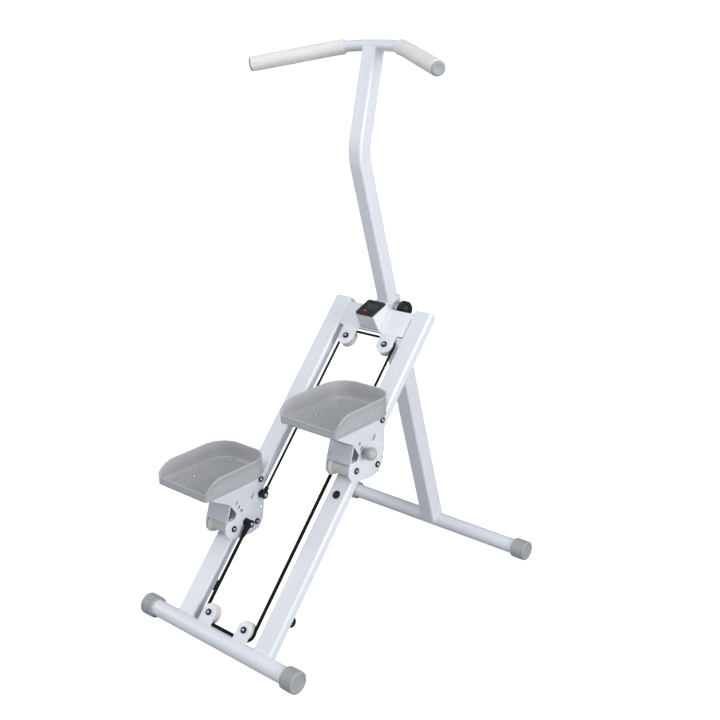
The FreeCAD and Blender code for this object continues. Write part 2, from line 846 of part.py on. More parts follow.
def carriage_bracket(side):
    """Two side plates joined by a web that faces the user; all its holes go through both plates."""
    name, sign = side
    label = f"carriage_bracket_{name}"
    body = new_body(label, turned_carriage(side))
    blank = new_sketch(body, "YZ_Plane", f"{label}_blank")
    polygon(blank, BRACKET_OUTLINE)
    pad(body, blank, "2 * plate_outer", both_ways=True)
    lower = lambda edge, middle: straight_along(edge, X_AXIS) and middle.z < 100 and middle.y > -60
    fillet(body, "6", lower)
    gap = new_sketch(body, "YZ_Plane", f"{label}_gap")
    polygon(
        gap,
        [
            (-130, 140),
            (-130, 76),
            (-20.5, 76),
            (-33.6, 36),
            (-60, 34),
            (-60, -30),
            (100, -30),
            (100, 140),
        ],
    )
    pocket(body, gap, "2 * (plate_outer - plate_thick)", both_ways=True)
    for end, offset, reverse in (("far", "plate_outer", False), ("near", "-plate_outer", True)):
        notch = new_sketch(body, "YZ_Plane", f"{label}_notch_{end}", offset=offset)
        polygon(notch, [(-23, 74), (-4, 47), (-13, 36), (-60, 36), (-60, 74)])
        pocket(body, notch, "plate_thick", reverse=reverse)
    holes = new_sketch(body, "YZ_Plane", f"{label}_holes")
    circle(holes, FRONT_AXLE[0], FRONT_AXLE[1], "axle_radius")
    circle(holes, REAR_AXLE[0], REAR_AXLE[1], "axle_radius")
    circle(holes, "pivot_y", "pivot_z", "pivot_radius")
    circle(holes, CABLE_POINT[0], CABLE_POINT[1], 3)
    circle(holes, ROPE_POINT[0], ROPE_POINT[1], 3)
    circle(holes, 75.5, 37.4, 3.5)
    for step in (0, 1, 2):
        circle(holes, *arc_point(f"(arc_rest - {step} * arc_step)"), "pin_radius")
    pocket(body, holes, 200, both_ways=True)
    keep(body)


def turned_carriage(side):
    return carriage_frame(side)


def carriage_axle(side, label, point, radius, half_grip):
    """A through bolt along X with a low round head outside one plate and a nut outside the other."""
    name, sign = side
    frame = carriage_frame(side)
    outer = cell("plate_outer")
    y, z = point
    shank = cylinder(f"{label}_shank", frame * moved(-outer, y, z, ALONG_X), radius, 2 * outer)
    head = cylinder(f"{label}_head", frame * moved(outer, y, z, ALONG_X), 7.5, 4.0)
    other = cylinder(f"{label}_nut", frame * moved(-outer - 4.0, y, z, ALONG_X), 7.5, 4.0)
    return joined(label, shank, head, other)


def roller(label, side, point):
    """Spool roller: straight waist on the rail's face, round shoulders, flanges beside the rail."""
    shoulder = "roller_half - 4.6"
    outline = [("axle_radius + 0.05", "-roller_half"), ("roller_flange", "-roller_half")]
    steps = 6
    reach = value_of(shoulder)
    rounding = 6.4
    lower = [("roller_flange", f"-({shoulder})")]
    for i in range(steps + 1):
        angle = math.radians(90 * i / steps)
        radius = cell("roller_waist") + rounding * (1 - math.sin(angle))
        along = reach - rounding * (1 - math.cos(angle))
        lower.append((f"{radius:.4f}", f"-{along:.4f}"))
    upper = [(radius, along[1:] if along.startswith("-") else f"-{along}") for radius, along in lower]
    outline += lower + [(radius, along) for radius, along in reversed(upper)]
    outline += [("roller_flange", "roller_half"), ("axle_radius + 0.05", "roller_half")]
    place = carriage_frame(side) * moved(0, point[0], point[1], ALONG_X)
    keep(revolved(label, place, outline))


def cable_anchor(side):
    """Bolt, eye and ferrule that hold the upper cable to the carriage's inner plate."""
    name, sign = side
    frame = carriage_frame(side)
    inner = -sign
    face = inner * cell("plate_outer")
    cable_x = sign * (UPPER[0] + CABLE_RUN) - sign * cell("rail_centre")
    y, z = CABLE_POINT
    start = min(face, face + inner * 16)
    barrel = cylinder(f"cable_anchor_{name}_eye", frame * moved(start, y, z, ALONG_X), 9.0, 16.0)
    slope = FreeCAD.Rotation(X_AXIS, cell("incline")) * ALONG_Y
    ferrule = cylinder(f"cable_anchor_{name}_ferrule", frame * moved(cable_x, y, z, slope), 5.0, 20.0)
    keep(joined(f"cable_anchor_{name}", barrel, ferrule))


def rope_sleeve(side):
    """Tapered sleeve and bolt that hold the lower rope to the carriage's inner plate."""
    name, sign = side
    frame = carriage_frame(side)
    inner = -sign
    face = inner * cell("plate_outer")
    rope_x = sign * (LOWER[0] + ROPE_RUN) - sign * cell("rail_centre")
    y, z = ROPE_POINT
    start = min(face, face + inner * 20)
    eye = cylinder(f"rope_sleeve_{name}_eye", frame * moved(start, y, z, ALONG_X), 9.0, 20.0)
    cone = doc.addObject("Part::Cone", f"rope_sleeve_{name}_cone")
    cone.Radius1 = 7.0
    cone.Radius2 = 5.2
    cone.Height = SLEEVE_LENGTH
    down_slope = FreeCAD.Rotation(X_AXIS, cell("incline") + 90)
    cone.Placement = frame * moved(rope_x, y, z, down_slope)
    keep(joined(f"rope_sleeve_{name}", eye, cone))


def pull_pin(side):
    """Spring pin with a round knob, outside the outer plate; its tip holds the pedal's cradle."""
    name, sign = side
    y, z = [value_of(part) for part in arc_point("arc_rest")]
    turn = ALONG_X if sign > 0 else FreeCAD.Rotation(V(0, 1, 0), -90)
    place = carriage_frame(side) * moved(0, y, z, turn)
    face = "plate_outer"
    outline = [
        ("0", f"{face} - 8"),
        ("pin_radius - 0.3", f"{face} - 8"),
        ("pin_radius - 0.3", f"{face} + 1"),
        ("6", f"{face} + 1"),
        ("6", f"{face} + 9"),
        ("7", f"{face} + 11"),
        ("11", f"{face} + 14"),
        ("12.5", f"{face} + 18"),
        ("12.5", f"{face} + 23"),
        ("11", f"{face} + 27"),
        ("7", f"{face} + 30"),
        ("0", f"{face} + 31"),
    ]
    keep(revolved(f"pull_pin_{name}", place, outline))


def under_pedal(y, drop=0):
    """Formula of the height of the pedal's underside at y, less drop."""
    return f"pedal_floor + (({y}) - pedal_heel) * tan(pedal_pitch * 1deg) - {drop}"


def pedal_cradle(side):
    """Channel under the pedal that turns on the toe pivot; its slot runs past the pull pin."""
    name, sign = side
    label = f"pedal_cradle_{name}"
    body = new_body(label, carriage_frame(side))
    cheek = new_sketch(body, "YZ_Plane", f"{label}_cheek")
    polygon(
        cheek,
        [
            (-112, under_pedal(-112)),
            (-112, under_pedal(-112, 3)),
            (-30, under_pedal(-30, 3)),
            arc_point("(arc_rest - 4)", "arc_radius + 9"),
            arc_point("(arc_rest + arc_step)", "arc_radius + 9"),
            arc_point("(arc_rest + 2 * arc_step + 4)", "arc_radius + 8"),
            arc_point("(arc_rest + 2 * arc_step + 5)", "arc_radius - 7"),
            ("pivot_y + 6", "pivot_z - 9"),
            ("pivot_y + 9", "pivot_z + 4"),
            ("pedal_toe - 1", under_pedal("pedal_toe - 1")),
        ],
    )
    pad(body, cheek, "2 * cradle_half", both_ways=True)
    gap = new_sketch(body, "YZ_Plane", f"{label}_gap")
    polygon(gap, [(-200, -60), (200, -60), (200, under_pedal(200, 3)), (-200, under_pedal(-200, 3))])
    pocket(body, gap, "2 * (cradle_half - 3)", both_ways=True)
    hole = new_sketch(body, "YZ_Plane", f"{label}_pivot_hole")
    circle(hole, "pivot_y", "pivot_z", "pivot_radius + 0.05")
    pocket(body, hole, 200, both_ways=True)
    slot = new_sketch(body, "YZ_Plane", f"{label}_slot")
    arc_slot(slot, 0.4, 19.5, cell("pin_radius") + 0.1)
    pocket(body, slot, 200, both_ways=True)
    keep(body)


def arc_slot(sketch, before, after, half_width):
    """A slot round the pivot, from just before the rest hole to past the last one, in degrees."""
    centre = V(cell("pivot_y"), cell("pivot_z"), 0)
    first = 180 + cell("arc_rest") - before
    last = 180 + cell("arc_rest") + after
    radii = (cell("arc_radius") - half_width, cell("arc_radius") + half_width)
    ends = []
    for angle in (first, last):
        ends.append(centre + polar(cell("arc_radius"), angle))
    turn = math.radians
    inner = Part.ArcOfCircle(Part.Circle(centre, V(0, 0, 1), radii[0]), turn(first), turn(last))
    outer = Part.ArcOfCircle(Part.Circle(centre, V(0, 0, 1), radii[1]), turn(first), turn(last))
    start = Part.ArcOfCircle(
        Part.Circle(ends[0], V(0, 0, 1), half_width), turn(first - 180), turn(first)
    )
    stop = Part.ArcOfCircle(Part.Circle(ends[1], V(0, 0, 1), half_width), turn(last), turn(last + 180))
    for arc in (inner, outer, start, stop):
        index = sketch.addGeometry(arc)
        sketch.addConstraint(Sketcher.Constraint("Block", index))


def polar(radius, degrees):
    return V(radius * math.cos(math.radians(degrees)), radius * math.sin(math.radians(degrees)), 0)


def pedal_tray(side):
    """Moulded pedal: tread, upright rim round the toe and both sides, low rim at the heel."""
    name, sign = side
    label = f"pedal_{name}"
    body = new_body(label, pedal_frame(side))
    base = new_sketch(body, "XY_Plane", f"{label}_base", offset="pedal_floor")
    middle = "(pedal_heel + pedal_toe) / 2"
    rectangle(base, "pedal_shift", middle, "pedal_width", "pedal_toe - pedal_heel")
    pad(body, base, "pedal_height")
    toe, heel = cell("pedal_toe"), cell("pedal_heel")
    upright = lambda place: lambda edge, at: straight_along(edge, V(0, 0, 1)) and abs(at.y - place) < 0.01
    fillet(body, "pedal_toe_corner", upright(toe))
    fillet(body, "pedal_heel_corner", upright(heel))
    hollow = new_sketch(body, "XY_Plane", f"{label}_hollow", offset="pedal_floor + pedal_tread")
    inner_toe, inner_side = toe - cell("pedal_wall"), value_of("pedal_width / 2 - pedal_wall")
    corner = cell("pedal_toe_corner") - cell("pedal_wall")
    left, right = cell("pedal_shift") - inner_side, cell("pedal_shift") + inner_side
    rounded_outline(
        hollow,
        [
            (left, heel + cell("pedal_wall"), 6),
            (right, heel + cell("pedal_wall"), 6),
            (right, inner_toe, corner),
            (left, inner_toe, corner),
        ],
    )
    pocket(body, hollow, "pedal_height", reverse=True)
    sweep_heel(body, label)
    keep(body)


def sweep_heel(body, label):
    """Takes the rim down along an arc to its low part at the heel."""
    top = cell("pedal_floor") + cell("pedal_height")
    low = cell("pedal_floor") + cell("pedal_heel_rise")
    radius, heel = cell("pedal_sweep"), cell("pedal_heel")
    drop = top - low
    reach = math.sqrt(radius**2 - (radius - drop) ** 2)
    centre = V(heel + reach, top - radius, 0)
    last = math.pi - math.asin((radius - drop) / radius)
    sketch = new_sketch(body, "YZ_Plane", f"{label}_sweep")
    arc = Part.ArcOfCircle(Part.Circle(centre, V(0, 0, 1), radius), math.pi / 2, last)
    corners = [V(heel, low, 0), V(heel - 20, low, 0), V(heel - 20, top + 20, 0), V(centre.x, top + 20, 0)]
    corners.append(V(centre.x, top, 0))
    items = [arc] + [Part.LineSegment(corners[i], corners[i + 1]) for i in range(len(corners) - 1)]
    for item in items:
        index = sketch.addGeometry(item)
        sketch.addConstraint(Sketcher.Constraint("Block", index))
    pocket(body, sketch, "2 * pedal_width", both_ways=True)


for side in SIDES:
    name, sign = side
    carriage_bracket(side)
    axles = [
        carriage_axle(side, f"front_axle_{name}", FRONT_AXLE, "axle_radius", 0),
        carriage_axle(side, f"rear_axle_{name}", REAR_AXLE, "axle_radius", 0),
        carriage_axle(
            side, f"toe_bolt_{name}", (cell("pivot_y"), cell("pivot_z")), "pivot_radius", 0
        ),
    ]
    group(f"carriage_bolts_{name}", axles)
    roller(f"front_roller_{name}", side, FRONT_AXLE)
    roller(f"rear_roller_{name}", side, REAR_AXLE)
    cable_anchor(side)
    rope_sleeve(side)
    pull_pin(side)
    pedal_cradle(side)
    pedal_tray(side)

# ---------------------------------------------------------------- rear leg and fold hinge


def rear_leg():
    body = square_tube("rear_leg", LEG, "leg_size", "leg_size", "leg_wall", "leg_corner", 0, "leg_length")
    saddle(body)
    hole = new_sketch(body, "YZ_Plane", "rear_leg_screw_hole")
    circle(hole, 0, "leg_length - knob_drop", "knob_shank + 0.05")
    pocket(body, hole, "leg_size", reverse=True)
    keep(body)


def leg_collar():
    """Plastic collar in the mouth of the leg, which guides the post."""
    body = new_body("leg_collar", LEG)
    rim = new_sketch(body, "XY_Plane", "leg_collar_rim", offset="leg_length")
    rectangle(rim, 0, 0, "leg_size + 3", "leg_size + 3")
    pad(body, rim, "collar_thick")
    fillet(body, "leg_corner + 1.5", lambda edge, middle: straight_along(edge, V(0, 0, 1)))
    top = value_of("leg_length + collar_thick")
    fillet(body, "2", lambda edge, middle: abs(middle.z - top) < 0.01)
    liner = new_sketch(body, "XY_Plane", "leg_collar_liner", offset="leg_length")
    rectangle(liner, 0, 0, "leg_size - 2 * leg_wall - 0.1", "leg_size - 2 * leg_wall - 0.1")
    pad(body, liner, 12, reverse=True)
    inner_corner = value_of("leg_size / 2 - leg_wall - 0.05")
    fillet(
        body,
        "leg_corner - leg_wall",
        lambda edge, middle: straight_along(edge, V(0, 0, 1)) and abs(abs(middle.x) - inner_corner) < 0.02,
    )
    bore = new_sketch(body, "XY_Plane", "leg_collar_bore", offset="leg_length + collar_thick + 5")
    rectangle(bore, 0, 0, "post_size + 0.6", "post_size + 0.6")
    pocket(body, bore, 60)
    keep(body)


def fold_point_on_leg():
    """The fold pin's place in the leg's own frame."""
    place = INCLINE.multVec(V(0, cell("fold_s"), cell("fold_n")))
    return LEG.inverse().multVec(place)


FOLD_ON_LEG = fold_point_on_leg()


def hinge_side(label, placement, base_corners, pin_point, outer, thick, pin_gap):
    """A U of two cheeks on a base plate: base_corners are where the cheeks meet the base."""
    body = new_body(label, placement)
    (y0, z0), (y1, z1) = base_corners
    away = V(0, pin_point[0], pin_point[1])
    radius = cell("lug_radius")
    cheek = new_sketch(body, "YZ_Plane", f"{label}_cheek")
    axis = V(y1 - y0, z1 - z0, 0).normalize()
    across = V(pin_point[0] - y0, pin_point[1] - z0, 0)
    across = (across - axis * across.dot(axis)).normalize()
    pin = V(pin_point[0], pin_point[1], 0)
    left, right, tip = pin - axis * radius, pin + axis * radius, pin + across * radius
    start, end = V(y0, z0, 0), V(y1, z1, 0)
    arc = Part.Arc(right, tip, left)
    items = [Part.LineSegment(start, end), Part.LineSegment(end, right), arc, Part.LineSegment(left, start)]
    for item in items:
        index = cheek.addGeometry(item)
        cheek.addConstraint(Sketcher.Constraint("Block", index))
    pad(body, cheek, 2 * outer, both_ways=True)
    gap = new_sketch(body, "YZ_Plane", f"{label}_gap")
    inner_start, inner_end = start + across * thick - axis * 5, end + across * thick + axis * 5
    far = across * 200
    corners = [inner_start, inner_end, inner_end + far, inner_start + far]
    polygon(gap, [(f"{corner.x:.4f}", f"{corner.y:.4f}") for corner in corners])
    pocket(body, gap, 2 * (outer - 4), both_ways=True)
    hole = new_sketch(body, "YZ_Plane", f"{label}_hole")
    circle(hole, pin_point[0], pin_point[1], f"fold_pin + {pin_gap}")
    pocket(body, hole, 200, both_ways=True)
    keep(body)


def fold_hinge():
    back = value_of("rail_front - rail_depth")
    hinge_side(
        "fold_bracket",
        INCLINE,
        ((803, back), (842, back)),
        (cell("fold_s"), cell("fold_n")),
        23.5,
        3.0,
        0,
    )
    leg_face = -cell("leg_size") / 2
    hinge_side(
        "leg_lug",
        LEG,
        ((leg_face, FOLD_ON_LEG.z + 24), (leg_face, FOLD_ON_LEG.z - 24)),
        (FOLD_ON_LEG.y, FOLD_ON_LEG.z),
        18.5,
        3.0,
        0.05,
    )
    place = on_slope(-27.0, cell("fold_s"), cell("fold_n"), ALONG_X)
    shank = cylinder("fold_pin_shank", place, "fold_pin", 54.0)
    head = cylinder("fold_pin_head", on_slope(23.5, cell("fold_s"), cell("fold_n"), ALONG_X), 8.5, 5.0)
    tail = cylinder("fold_pin_tail", on_slope(-28.5, cell("fold_s"), cell("fold_n"), ALONG_X), 8.5, 5.0)
    keep(joined("fold_bolt", shank, head, tail))


def clamp_knob():
    """Hand screw in the right wall of the leg's top; it clamps the post at its height."""
    place = LEG * moved(0, 0, value_of("leg_length - knob_drop"), ALONG_X)
    wall = "leg_size / 2"
    outline = [
        ("0", "post_size / 2 + 0.4"),
        ("knob_shank", "post_size / 2 + 0.4"),
        ("knob_shank", f"{wall} + 7"),
        ("9", f"{wall} + 7"),
        ("11", f"{wall} + 14"),
        ("21", f"{wall} + 17"),
        ("21", f"{wall} + 33"),
        ("17", f"{wall} + 38"),
        ("9", f"{wall} + 41"),
        ("0", f"{wall} + 42"),
    ]
    keep(revolved("clamp_knob", place, outline))


def screw_boss():
    """Threaded boss on the leg that the clamp knob turns in."""
    start = LEG * moved(cell("leg_size") / 2, 0, value_of("leg_length - knob_drop"), ALONG_X)
    outside = cylinder("screw_boss_outside", start, 8.5, 6.0)
    inside = cylinder("screw_boss_inside", start, "knob_shank + 0.05", 6.0)
    keep(cut("screw_boss", outside, inside))


rear_leg()
leg_collar()
fold_hinge()
clamp_knob()
screw_boss()

# ---------------------------------------------------------------- post and handlebar


def rounded_square(side_length, corner, z):
    """A closed wire: a square with round corners, in the plane at height z."""
    half, inset = side_length / 2, side_length / 2 - corner
    edges = []
    for quarter in range(4):
        angle = math.radians(90 * quarter)
        turn = lambda x, y: V(x * math.cos(angle) - y * math.sin(angle), x * math.sin(angle) + y * math.cos(angle), z)
        edges.append(Part.LineSegment(turn(half, -inset), turn(half, inset)).toShape())
        bulge = inset + corner * math.sqrt(0.5)
        edges.append(Part.Arc(turn(half, inset), turn(bulge, bulge), turn(inset, half)).toShape())
    return Part.Wire(edges)


def post_path():
    """Up the leg's line, round the bend towards the front, and on to the handlebar."""
    bend = math.radians(cell("post_bend"))
    radius = cell("post_bend_radius")
    corner = cell("post_bend_place")
    reach = radius * math.tan(bend / 2)
    end_length = cell("post_upper") - cell("bar_diameter") / 2 + 8
    foot = V(0, 0, cell("post_foot"))
    bend_start = V(0, 0, corner - reach)
    direction = V(0, math.sin(bend), math.cos(bend))
    vertex = V(0, 0, corner)
    bend_end = vertex + direction * reach
    middle_angle = bend / 2
    centre = V(0, radius, corner - reach)
    bend_middle = centre + V(0, -math.cos(middle_angle), math.sin(middle_angle)) * radius
    edges = [
        Part.LineSegment(foot, bend_start).toShape(),
        Part.Arc(bend_start, bend_middle, bend_end).toShape(),
        Part.LineSegment(bend_end, vertex + direction * end_length).toShape(),
    ]
    return Part.Wire(edges), vertex + direction * cell("post_upper")


def handle_post():
    path, bar_centre = post_path()
    foot = cell("post_foot")
    outside = swept("post_outside", LEG, path, rounded_square(cell("post_size"), cell("post_corner"), foot))
    inner_size = cell("post_size") - 2 * cell("post_wall")
    inner_corner = cell("post_corner") - cell("post_wall")
    inside = swept("post_inside", LEG, path, rounded_square(inner_size, inner_corner, foot))
    tube = cut("post_tube", outside, inside)
    bar_place = LEG * FreeCAD.Placement(bar_centre, UPRIGHT)
    across = FreeCAD.Placement(bar_place.Base, UPRIGHT) * moved(-100, 0, 0, ALONG_X)
    notch = cylinder("post_notch", across, "bar_diameter / 2", 200)
    keep(cut("handle_post", tube, notch))
    return bar_place.Base


def bar_points(start_x):
    """Half the bar's middle line from start_x outwards, as a list of edges, in the bar's plane."""
    straight, radius = cell("bar_straight"), cell("bar_bend_radius")
    bend, half = math.radians(cell("bar_bend")), cell("bar_half")
    point = lambda angle: V(straight + radius * math.sin(angle), -radius * (1 - math.cos(angle)), 0)
    bend_end = point(bend)
    run = (half - bend_end.x) / math.cos(bend)
    tip = bend_end + V(math.cos(bend), -math.sin(bend), 0) * run
    start_angle = math.asin(max(0, start_x - straight) / radius)
    edges = [
        Part.Arc(point(start_angle), point((start_angle + bend) / 2), bend_end).toShape(),
        Part.LineSegment(bend_end, tip).toShape(),
    ]
    return edges, start_angle, tip


def mirrored(edges):
    return [edge.mirror(V(0, 0, 0), X_AXIS) for edge in edges]


def handlebar(centre):
    place = FreeCAD.Placement(centre, FreeCAD.Rotation(X_AXIS, cell("bar_slope")))
    straight = cell("bar_straight")
    edges, _, tip = bar_points(straight)
    middle = Part.LineSegment(V(-straight, 0, 0), V(straight, 0, 0)).toShape()
    path = Part.Wire(Part.__sortEdges__(mirrored(edges) + [middle] + edges))
    bend = math.radians(cell("bar_bend"))
    left_tip = V(-tip.x, tip.y, 0)
    heading = V(math.cos(bend), math.sin(bend), 0)
    ring = lambda radius: Part.Wire([Part.Circle(left_tip, heading, radius).toShape()])
    outside = swept("bar_outside", place, path, ring(cell("bar_diameter") / 2))
    inside = swept("bar_inside", place, path, ring(cell("bar_diameter") / 2 - cell("bar_wall")))
    keep(cut("handlebar", outside, inside))
    return place


def grip(side, place):
    name, sign = side
    edges, start_angle, tip = bar_points(cell("grip_start"))
    straight, radius = cell("bar_straight"), cell("bar_bend_radius")
    start = V(
        straight + radius * math.sin(start_angle), -radius * (1 - math.cos(start_angle)), 0
    )
    heading = V(math.cos(start_angle), -math.sin(start_angle), 0)
    if sign < 0:
        edges = mirrored(edges)
        start.x, heading.x = -start.x, -heading.x
    path = Part.Wire(Part.__sortEdges__(edges))
    ring = lambda size: Part.Wire([Part.Circle(start, heading, size).toShape()])
    foam = swept(f"grip_{name}_foam", place, path, ring(cell("grip_diameter") / 2))
    bore = swept(f"grip_{name}_bore", place, path, ring(cell("bar_diameter") / 2))
    keep(cut(f"grip_{name}", foam, bore))


def bar_plug(side, place):
    """Plug that closes one end of the bar, with a rim as wide as the grip."""
    name, sign = side
    _, _, tip = bar_points(cell("grip_start"))
    bend = cell("bar_bend")
    heading = V(sign * math.cos(math.radians(bend)), -math.sin(math.radians(bend)), 0)
    turn = FreeCAD.Rotation(V(0, 0, 1), heading)
    start = FreeCAD.Placement(V(sign * tip.x, tip.y, 0), turn)
    outline = [
        ("0", "-14"),
        ("bar_diameter / 2 - bar_wall", "-14"),
        ("bar_diameter / 2 - bar_wall", "0"),
        ("grip_diameter / 2 - 2", "0"),
        ("grip_diameter / 2 - 2", "1.5"),
        ("grip_diameter / 2 - 4", "3"),
        ("0", "3.5"),
    ]
    return revolved(f"bar_plug_{name}", place * start, outline)


bar_centre = handle_post()
bar_frame = handlebar(bar_centre)
for side in SIDES:
    grip(side, bar_frame)
group("bar_end_plugs", [bar_plug(side, bar_frame) for side in SIDES])

# ---------------------------------------------------------------- check and write

doc.recompute()
for item in doc.Objects:
    if {"Invalid", "Error"} & set(item.State):
        raise RuntimeError(f"{item.Name} ({item.Label}) did not build: {item.State}")
for node in NODES:
    if node.Shape.isNull() or not node.Shape.isValid():
        raise RuntimeError(f"{node.Label} is not a valid shape")
    if node.Shape.Volume <= 0:
        raise RuntimeError(f"{node.Label} has no volume")

os.makedirs("parts", exist_ok=True)
for node in NODES:
    node.Shape.exportStep(f"parts/{node.Label}.step")
    solids = len(node.Shape.Solids)
    box = node.Shape.BoundBox
    print(
        f"{node.Label:24s} solids {solids} volume {node.Shape.Volume / 1000:9.1f} cm3"
        f"  x {box.XMin:7.1f} {box.XMax:7.1f}  y {box.YMin:7.1f} {box.YMax:7.1f}"
        f"  z {box.ZMin:7.1f} {box.ZMax:7.1f}"
    )
print(f"{len(NODES)} sub-parts")
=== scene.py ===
"""Looks for the stepper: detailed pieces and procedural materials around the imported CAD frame."""

import json
import math

import bmesh
import bpy
from mathutils import Matrix, Vector


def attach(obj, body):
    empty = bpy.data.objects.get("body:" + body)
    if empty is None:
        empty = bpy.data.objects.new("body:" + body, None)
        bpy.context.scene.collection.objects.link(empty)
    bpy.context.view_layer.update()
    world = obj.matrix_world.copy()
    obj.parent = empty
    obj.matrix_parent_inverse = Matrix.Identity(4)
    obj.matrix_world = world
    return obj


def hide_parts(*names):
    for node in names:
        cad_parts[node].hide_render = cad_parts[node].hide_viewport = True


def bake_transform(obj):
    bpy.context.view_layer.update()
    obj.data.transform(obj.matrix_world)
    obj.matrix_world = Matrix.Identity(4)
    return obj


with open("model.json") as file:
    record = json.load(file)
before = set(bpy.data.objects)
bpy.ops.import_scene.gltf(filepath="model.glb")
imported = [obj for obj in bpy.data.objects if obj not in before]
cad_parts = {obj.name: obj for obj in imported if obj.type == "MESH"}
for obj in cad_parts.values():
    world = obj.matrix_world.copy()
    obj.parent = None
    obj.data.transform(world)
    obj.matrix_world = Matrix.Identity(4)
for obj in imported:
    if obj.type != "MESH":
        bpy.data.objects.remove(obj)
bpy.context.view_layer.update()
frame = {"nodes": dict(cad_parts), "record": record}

NODES = frame["nodes"]
MM = 0.001
TAU = math.tau

# ---- frames, in millimetres


def shift(x=0.0, y=0.0, z=0.0):
    return Matrix.Translation((x, y, z))


def turn(degrees, axis):
    return Matrix.Rotation(math.radians(degrees), 4, axis)


SLOPE_ANGLE, LEAN = 49.0, 17.22
SLOPE = shift(0, -398, 25) @ turn(SLOPE_ANGLE, "X")
LEG = shift(0, 398, 25) @ turn(LEAN, "X")
RISE = Vector((0, math.cos(math.radians(SLOPE_ANGLE)), math.sin(math.radians(SLOPE_ANGLE))))
SIDES = (("left", -1, 234.0), ("right", 1, 456.0))
ALONG_X = turn(90, "Y")
ALONG_Y = turn(-90, "X")
RAIL_X = 124.0


def carriage(side):
    """Upright frame of a carriage: origin on the rail's middle line beside the front roller."""
    _, sign, place = side
    return Matrix.Translation(Vector((sign * RAIL_X, -398, 25)) + RISE * place)


# ---- materials


def add(tree, kind, **numbers):
    """A new node with numbers set on its sockets."""
    node = tree.nodes.new(f"ShaderNode{kind}")
    for socket, number in numbers.items():
        node.inputs[socket].default_value = number
    return node


def ramp(tree, fac, low, high, position=(0.35, 0.65)):
    node = tree.nodes.new("ShaderNodeValToRGB")
    node.color_ramp.elements[0].position, node.color_ramp.elements[1].position = position
    node.color_ramp.elements[0].color = (*low, 1)
    node.color_ramp.elements[1].color = (*high, 1)
    tree.links.new(fac, node.inputs["Fac"])
    return node.outputs["Color"]


def noise(tree, coords, scale, detail=3.0, rough=0.55, stretch=None):
    if stretch is not None:
        mapping = add(tree, "Mapping", Scale=stretch)
        tree.links.new(coords, mapping.inputs["Vector"])
        coords = mapping.outputs["Vector"]
    node = add(tree, "TexNoise", Scale=scale, Detail=detail, Roughness=rough)
    tree.links.new(coords, node.inputs["Vector"])
    return node.outputs["Fac"]


def cells(tree, coords, scale):
    node = add(tree, "TexVoronoi", Scale=scale)
    tree.links.new(coords, node.inputs["Vector"])
    return node.outputs["Distance"]


def bump(tree, height, strength, distance, below=None):
    node = add(tree, "Bump", Strength=strength, Distance=distance)
    tree.links.new(height, node.inputs["Height"])
    if below is not None:
        tree.links.new(below, node.inputs["Normal"])
    return node.outputs["Normal"]


def spread(tree, fac, low, high, start=0.3, stop=0.7):
    node = add(tree, "MapRange", **{"From Min": start, "From Max": stop, "To Min": low, "To Max": high})
    tree.links.new(fac, node.inputs["Value"])
    return node.outputs["Result"]


COAT_ROUGHNESS = 0.12


def material(name, color, rough, drift=0.04, drift_scale=9.0, metal=0.0, grain=None, pits=None, coat=0.0,
             sheen=0.0, streak=None, gloss=0.5):
    """A procedural finish: colour drift, roughness drift, fine grain and, where given, moulded pits."""
    made = bpy.data.materials.new(name)
    made.use_nodes = True
    tree = made.node_tree
    shader = tree.nodes["Principled BSDF"]
    coords = tree.nodes.new("ShaderNodeTexCoord").outputs["Object"]
    low = tuple(c * (1 - drift) for c in color)
    high = tuple(min(1, c * (1 + drift)) for c in color)
    cloud = noise(tree, coords, drift_scale, 4.0, stretch=streak)
    tree.links.new(ramp(tree, cloud, low, high), shader.inputs["Base Color"])
    fine = noise(tree, coords, drift_scale * 7, 5.0, stretch=streak)
    tree.links.new(spread(tree, fine, rough[0], rough[1]), shader.inputs["Roughness"])
    for socket, number in (("Metallic", metal), ("Specular IOR Level", gloss), ("Coat Weight", coat),
                           ("Coat Roughness", COAT_ROUGHNESS), ("Sheen Weight", sheen)):
        shader.inputs[socket].default_value = number
    normal = None
    if grain:
        normal = bump(tree, noise(tree, coords, grain[0], 2.0), grain[1], grain[2])
    if pits:
        normal = bump(tree, cells(tree, coords, pits[0]), pits[1], pits[2], normal)
    if normal is not None:
        tree.links.new(normal, shader.inputs["Normal"])
    return made


PAINT = material("powder_coat", (0.78, 0.805, 0.86), (0.27, 0.31), 0.008, 3.0, grain=(1500, 0.05, 0.0002),
                 coat=0.25)
PEDAL = material("pedal_plastic", (0.44, 0.445, 0.465), (0.46, 0.60), 0.035, 12.0, grain=(2600, 0.25, 0.0003),
                 pits=(900, 0.12, 0.0004))
CAP = material("cap_plastic", (0.36, 0.37, 0.375), (0.45, 0.62), 0.05, 30.0, grain=(2200, 0.25, 0.0003))
FOAM = material("grip_foam", (0.82, 0.815, 0.78), (0.80, 0.95), 0.03, 25.0, grain=(1500, 0.35, 0.0006),
                pits=(1100, 0.35, 0.0008), sheen=0.15)
NYLON = material("roller_nylon", (0.78, 0.745, 0.71), (0.38, 0.55), 0.04, 30.0, grain=(1800, 0.15, 0.0003),
                 streak=(0.3, 1.0, 1.0))
PIN = material("pin_plastic", (0.50, 0.485, 0.475), (0.40, 0.52), 0.03, 40.0, grain=(2400, 0.2, 0.0003))
BLACK = material("black_plastic", (0.010, 0.010, 0.011), (0.36, 0.50), 0.15, 40.0, grain=(2400, 0.22, 0.0003),
                 gloss=0.28)
RUBBER = material("black_rubber", (0.008, 0.008, 0.009), (0.62, 0.80), 0.2, 30.0, grain=(1500, 0.3, 0.0004),
                  gloss=0.3)
WHITE = material("white_plastic", (0.76, 0.78, 0.81), (0.28, 0.38), 0.012, 20.0, grain=(2600, 0.12, 0.0003),
                 coat=0.2)
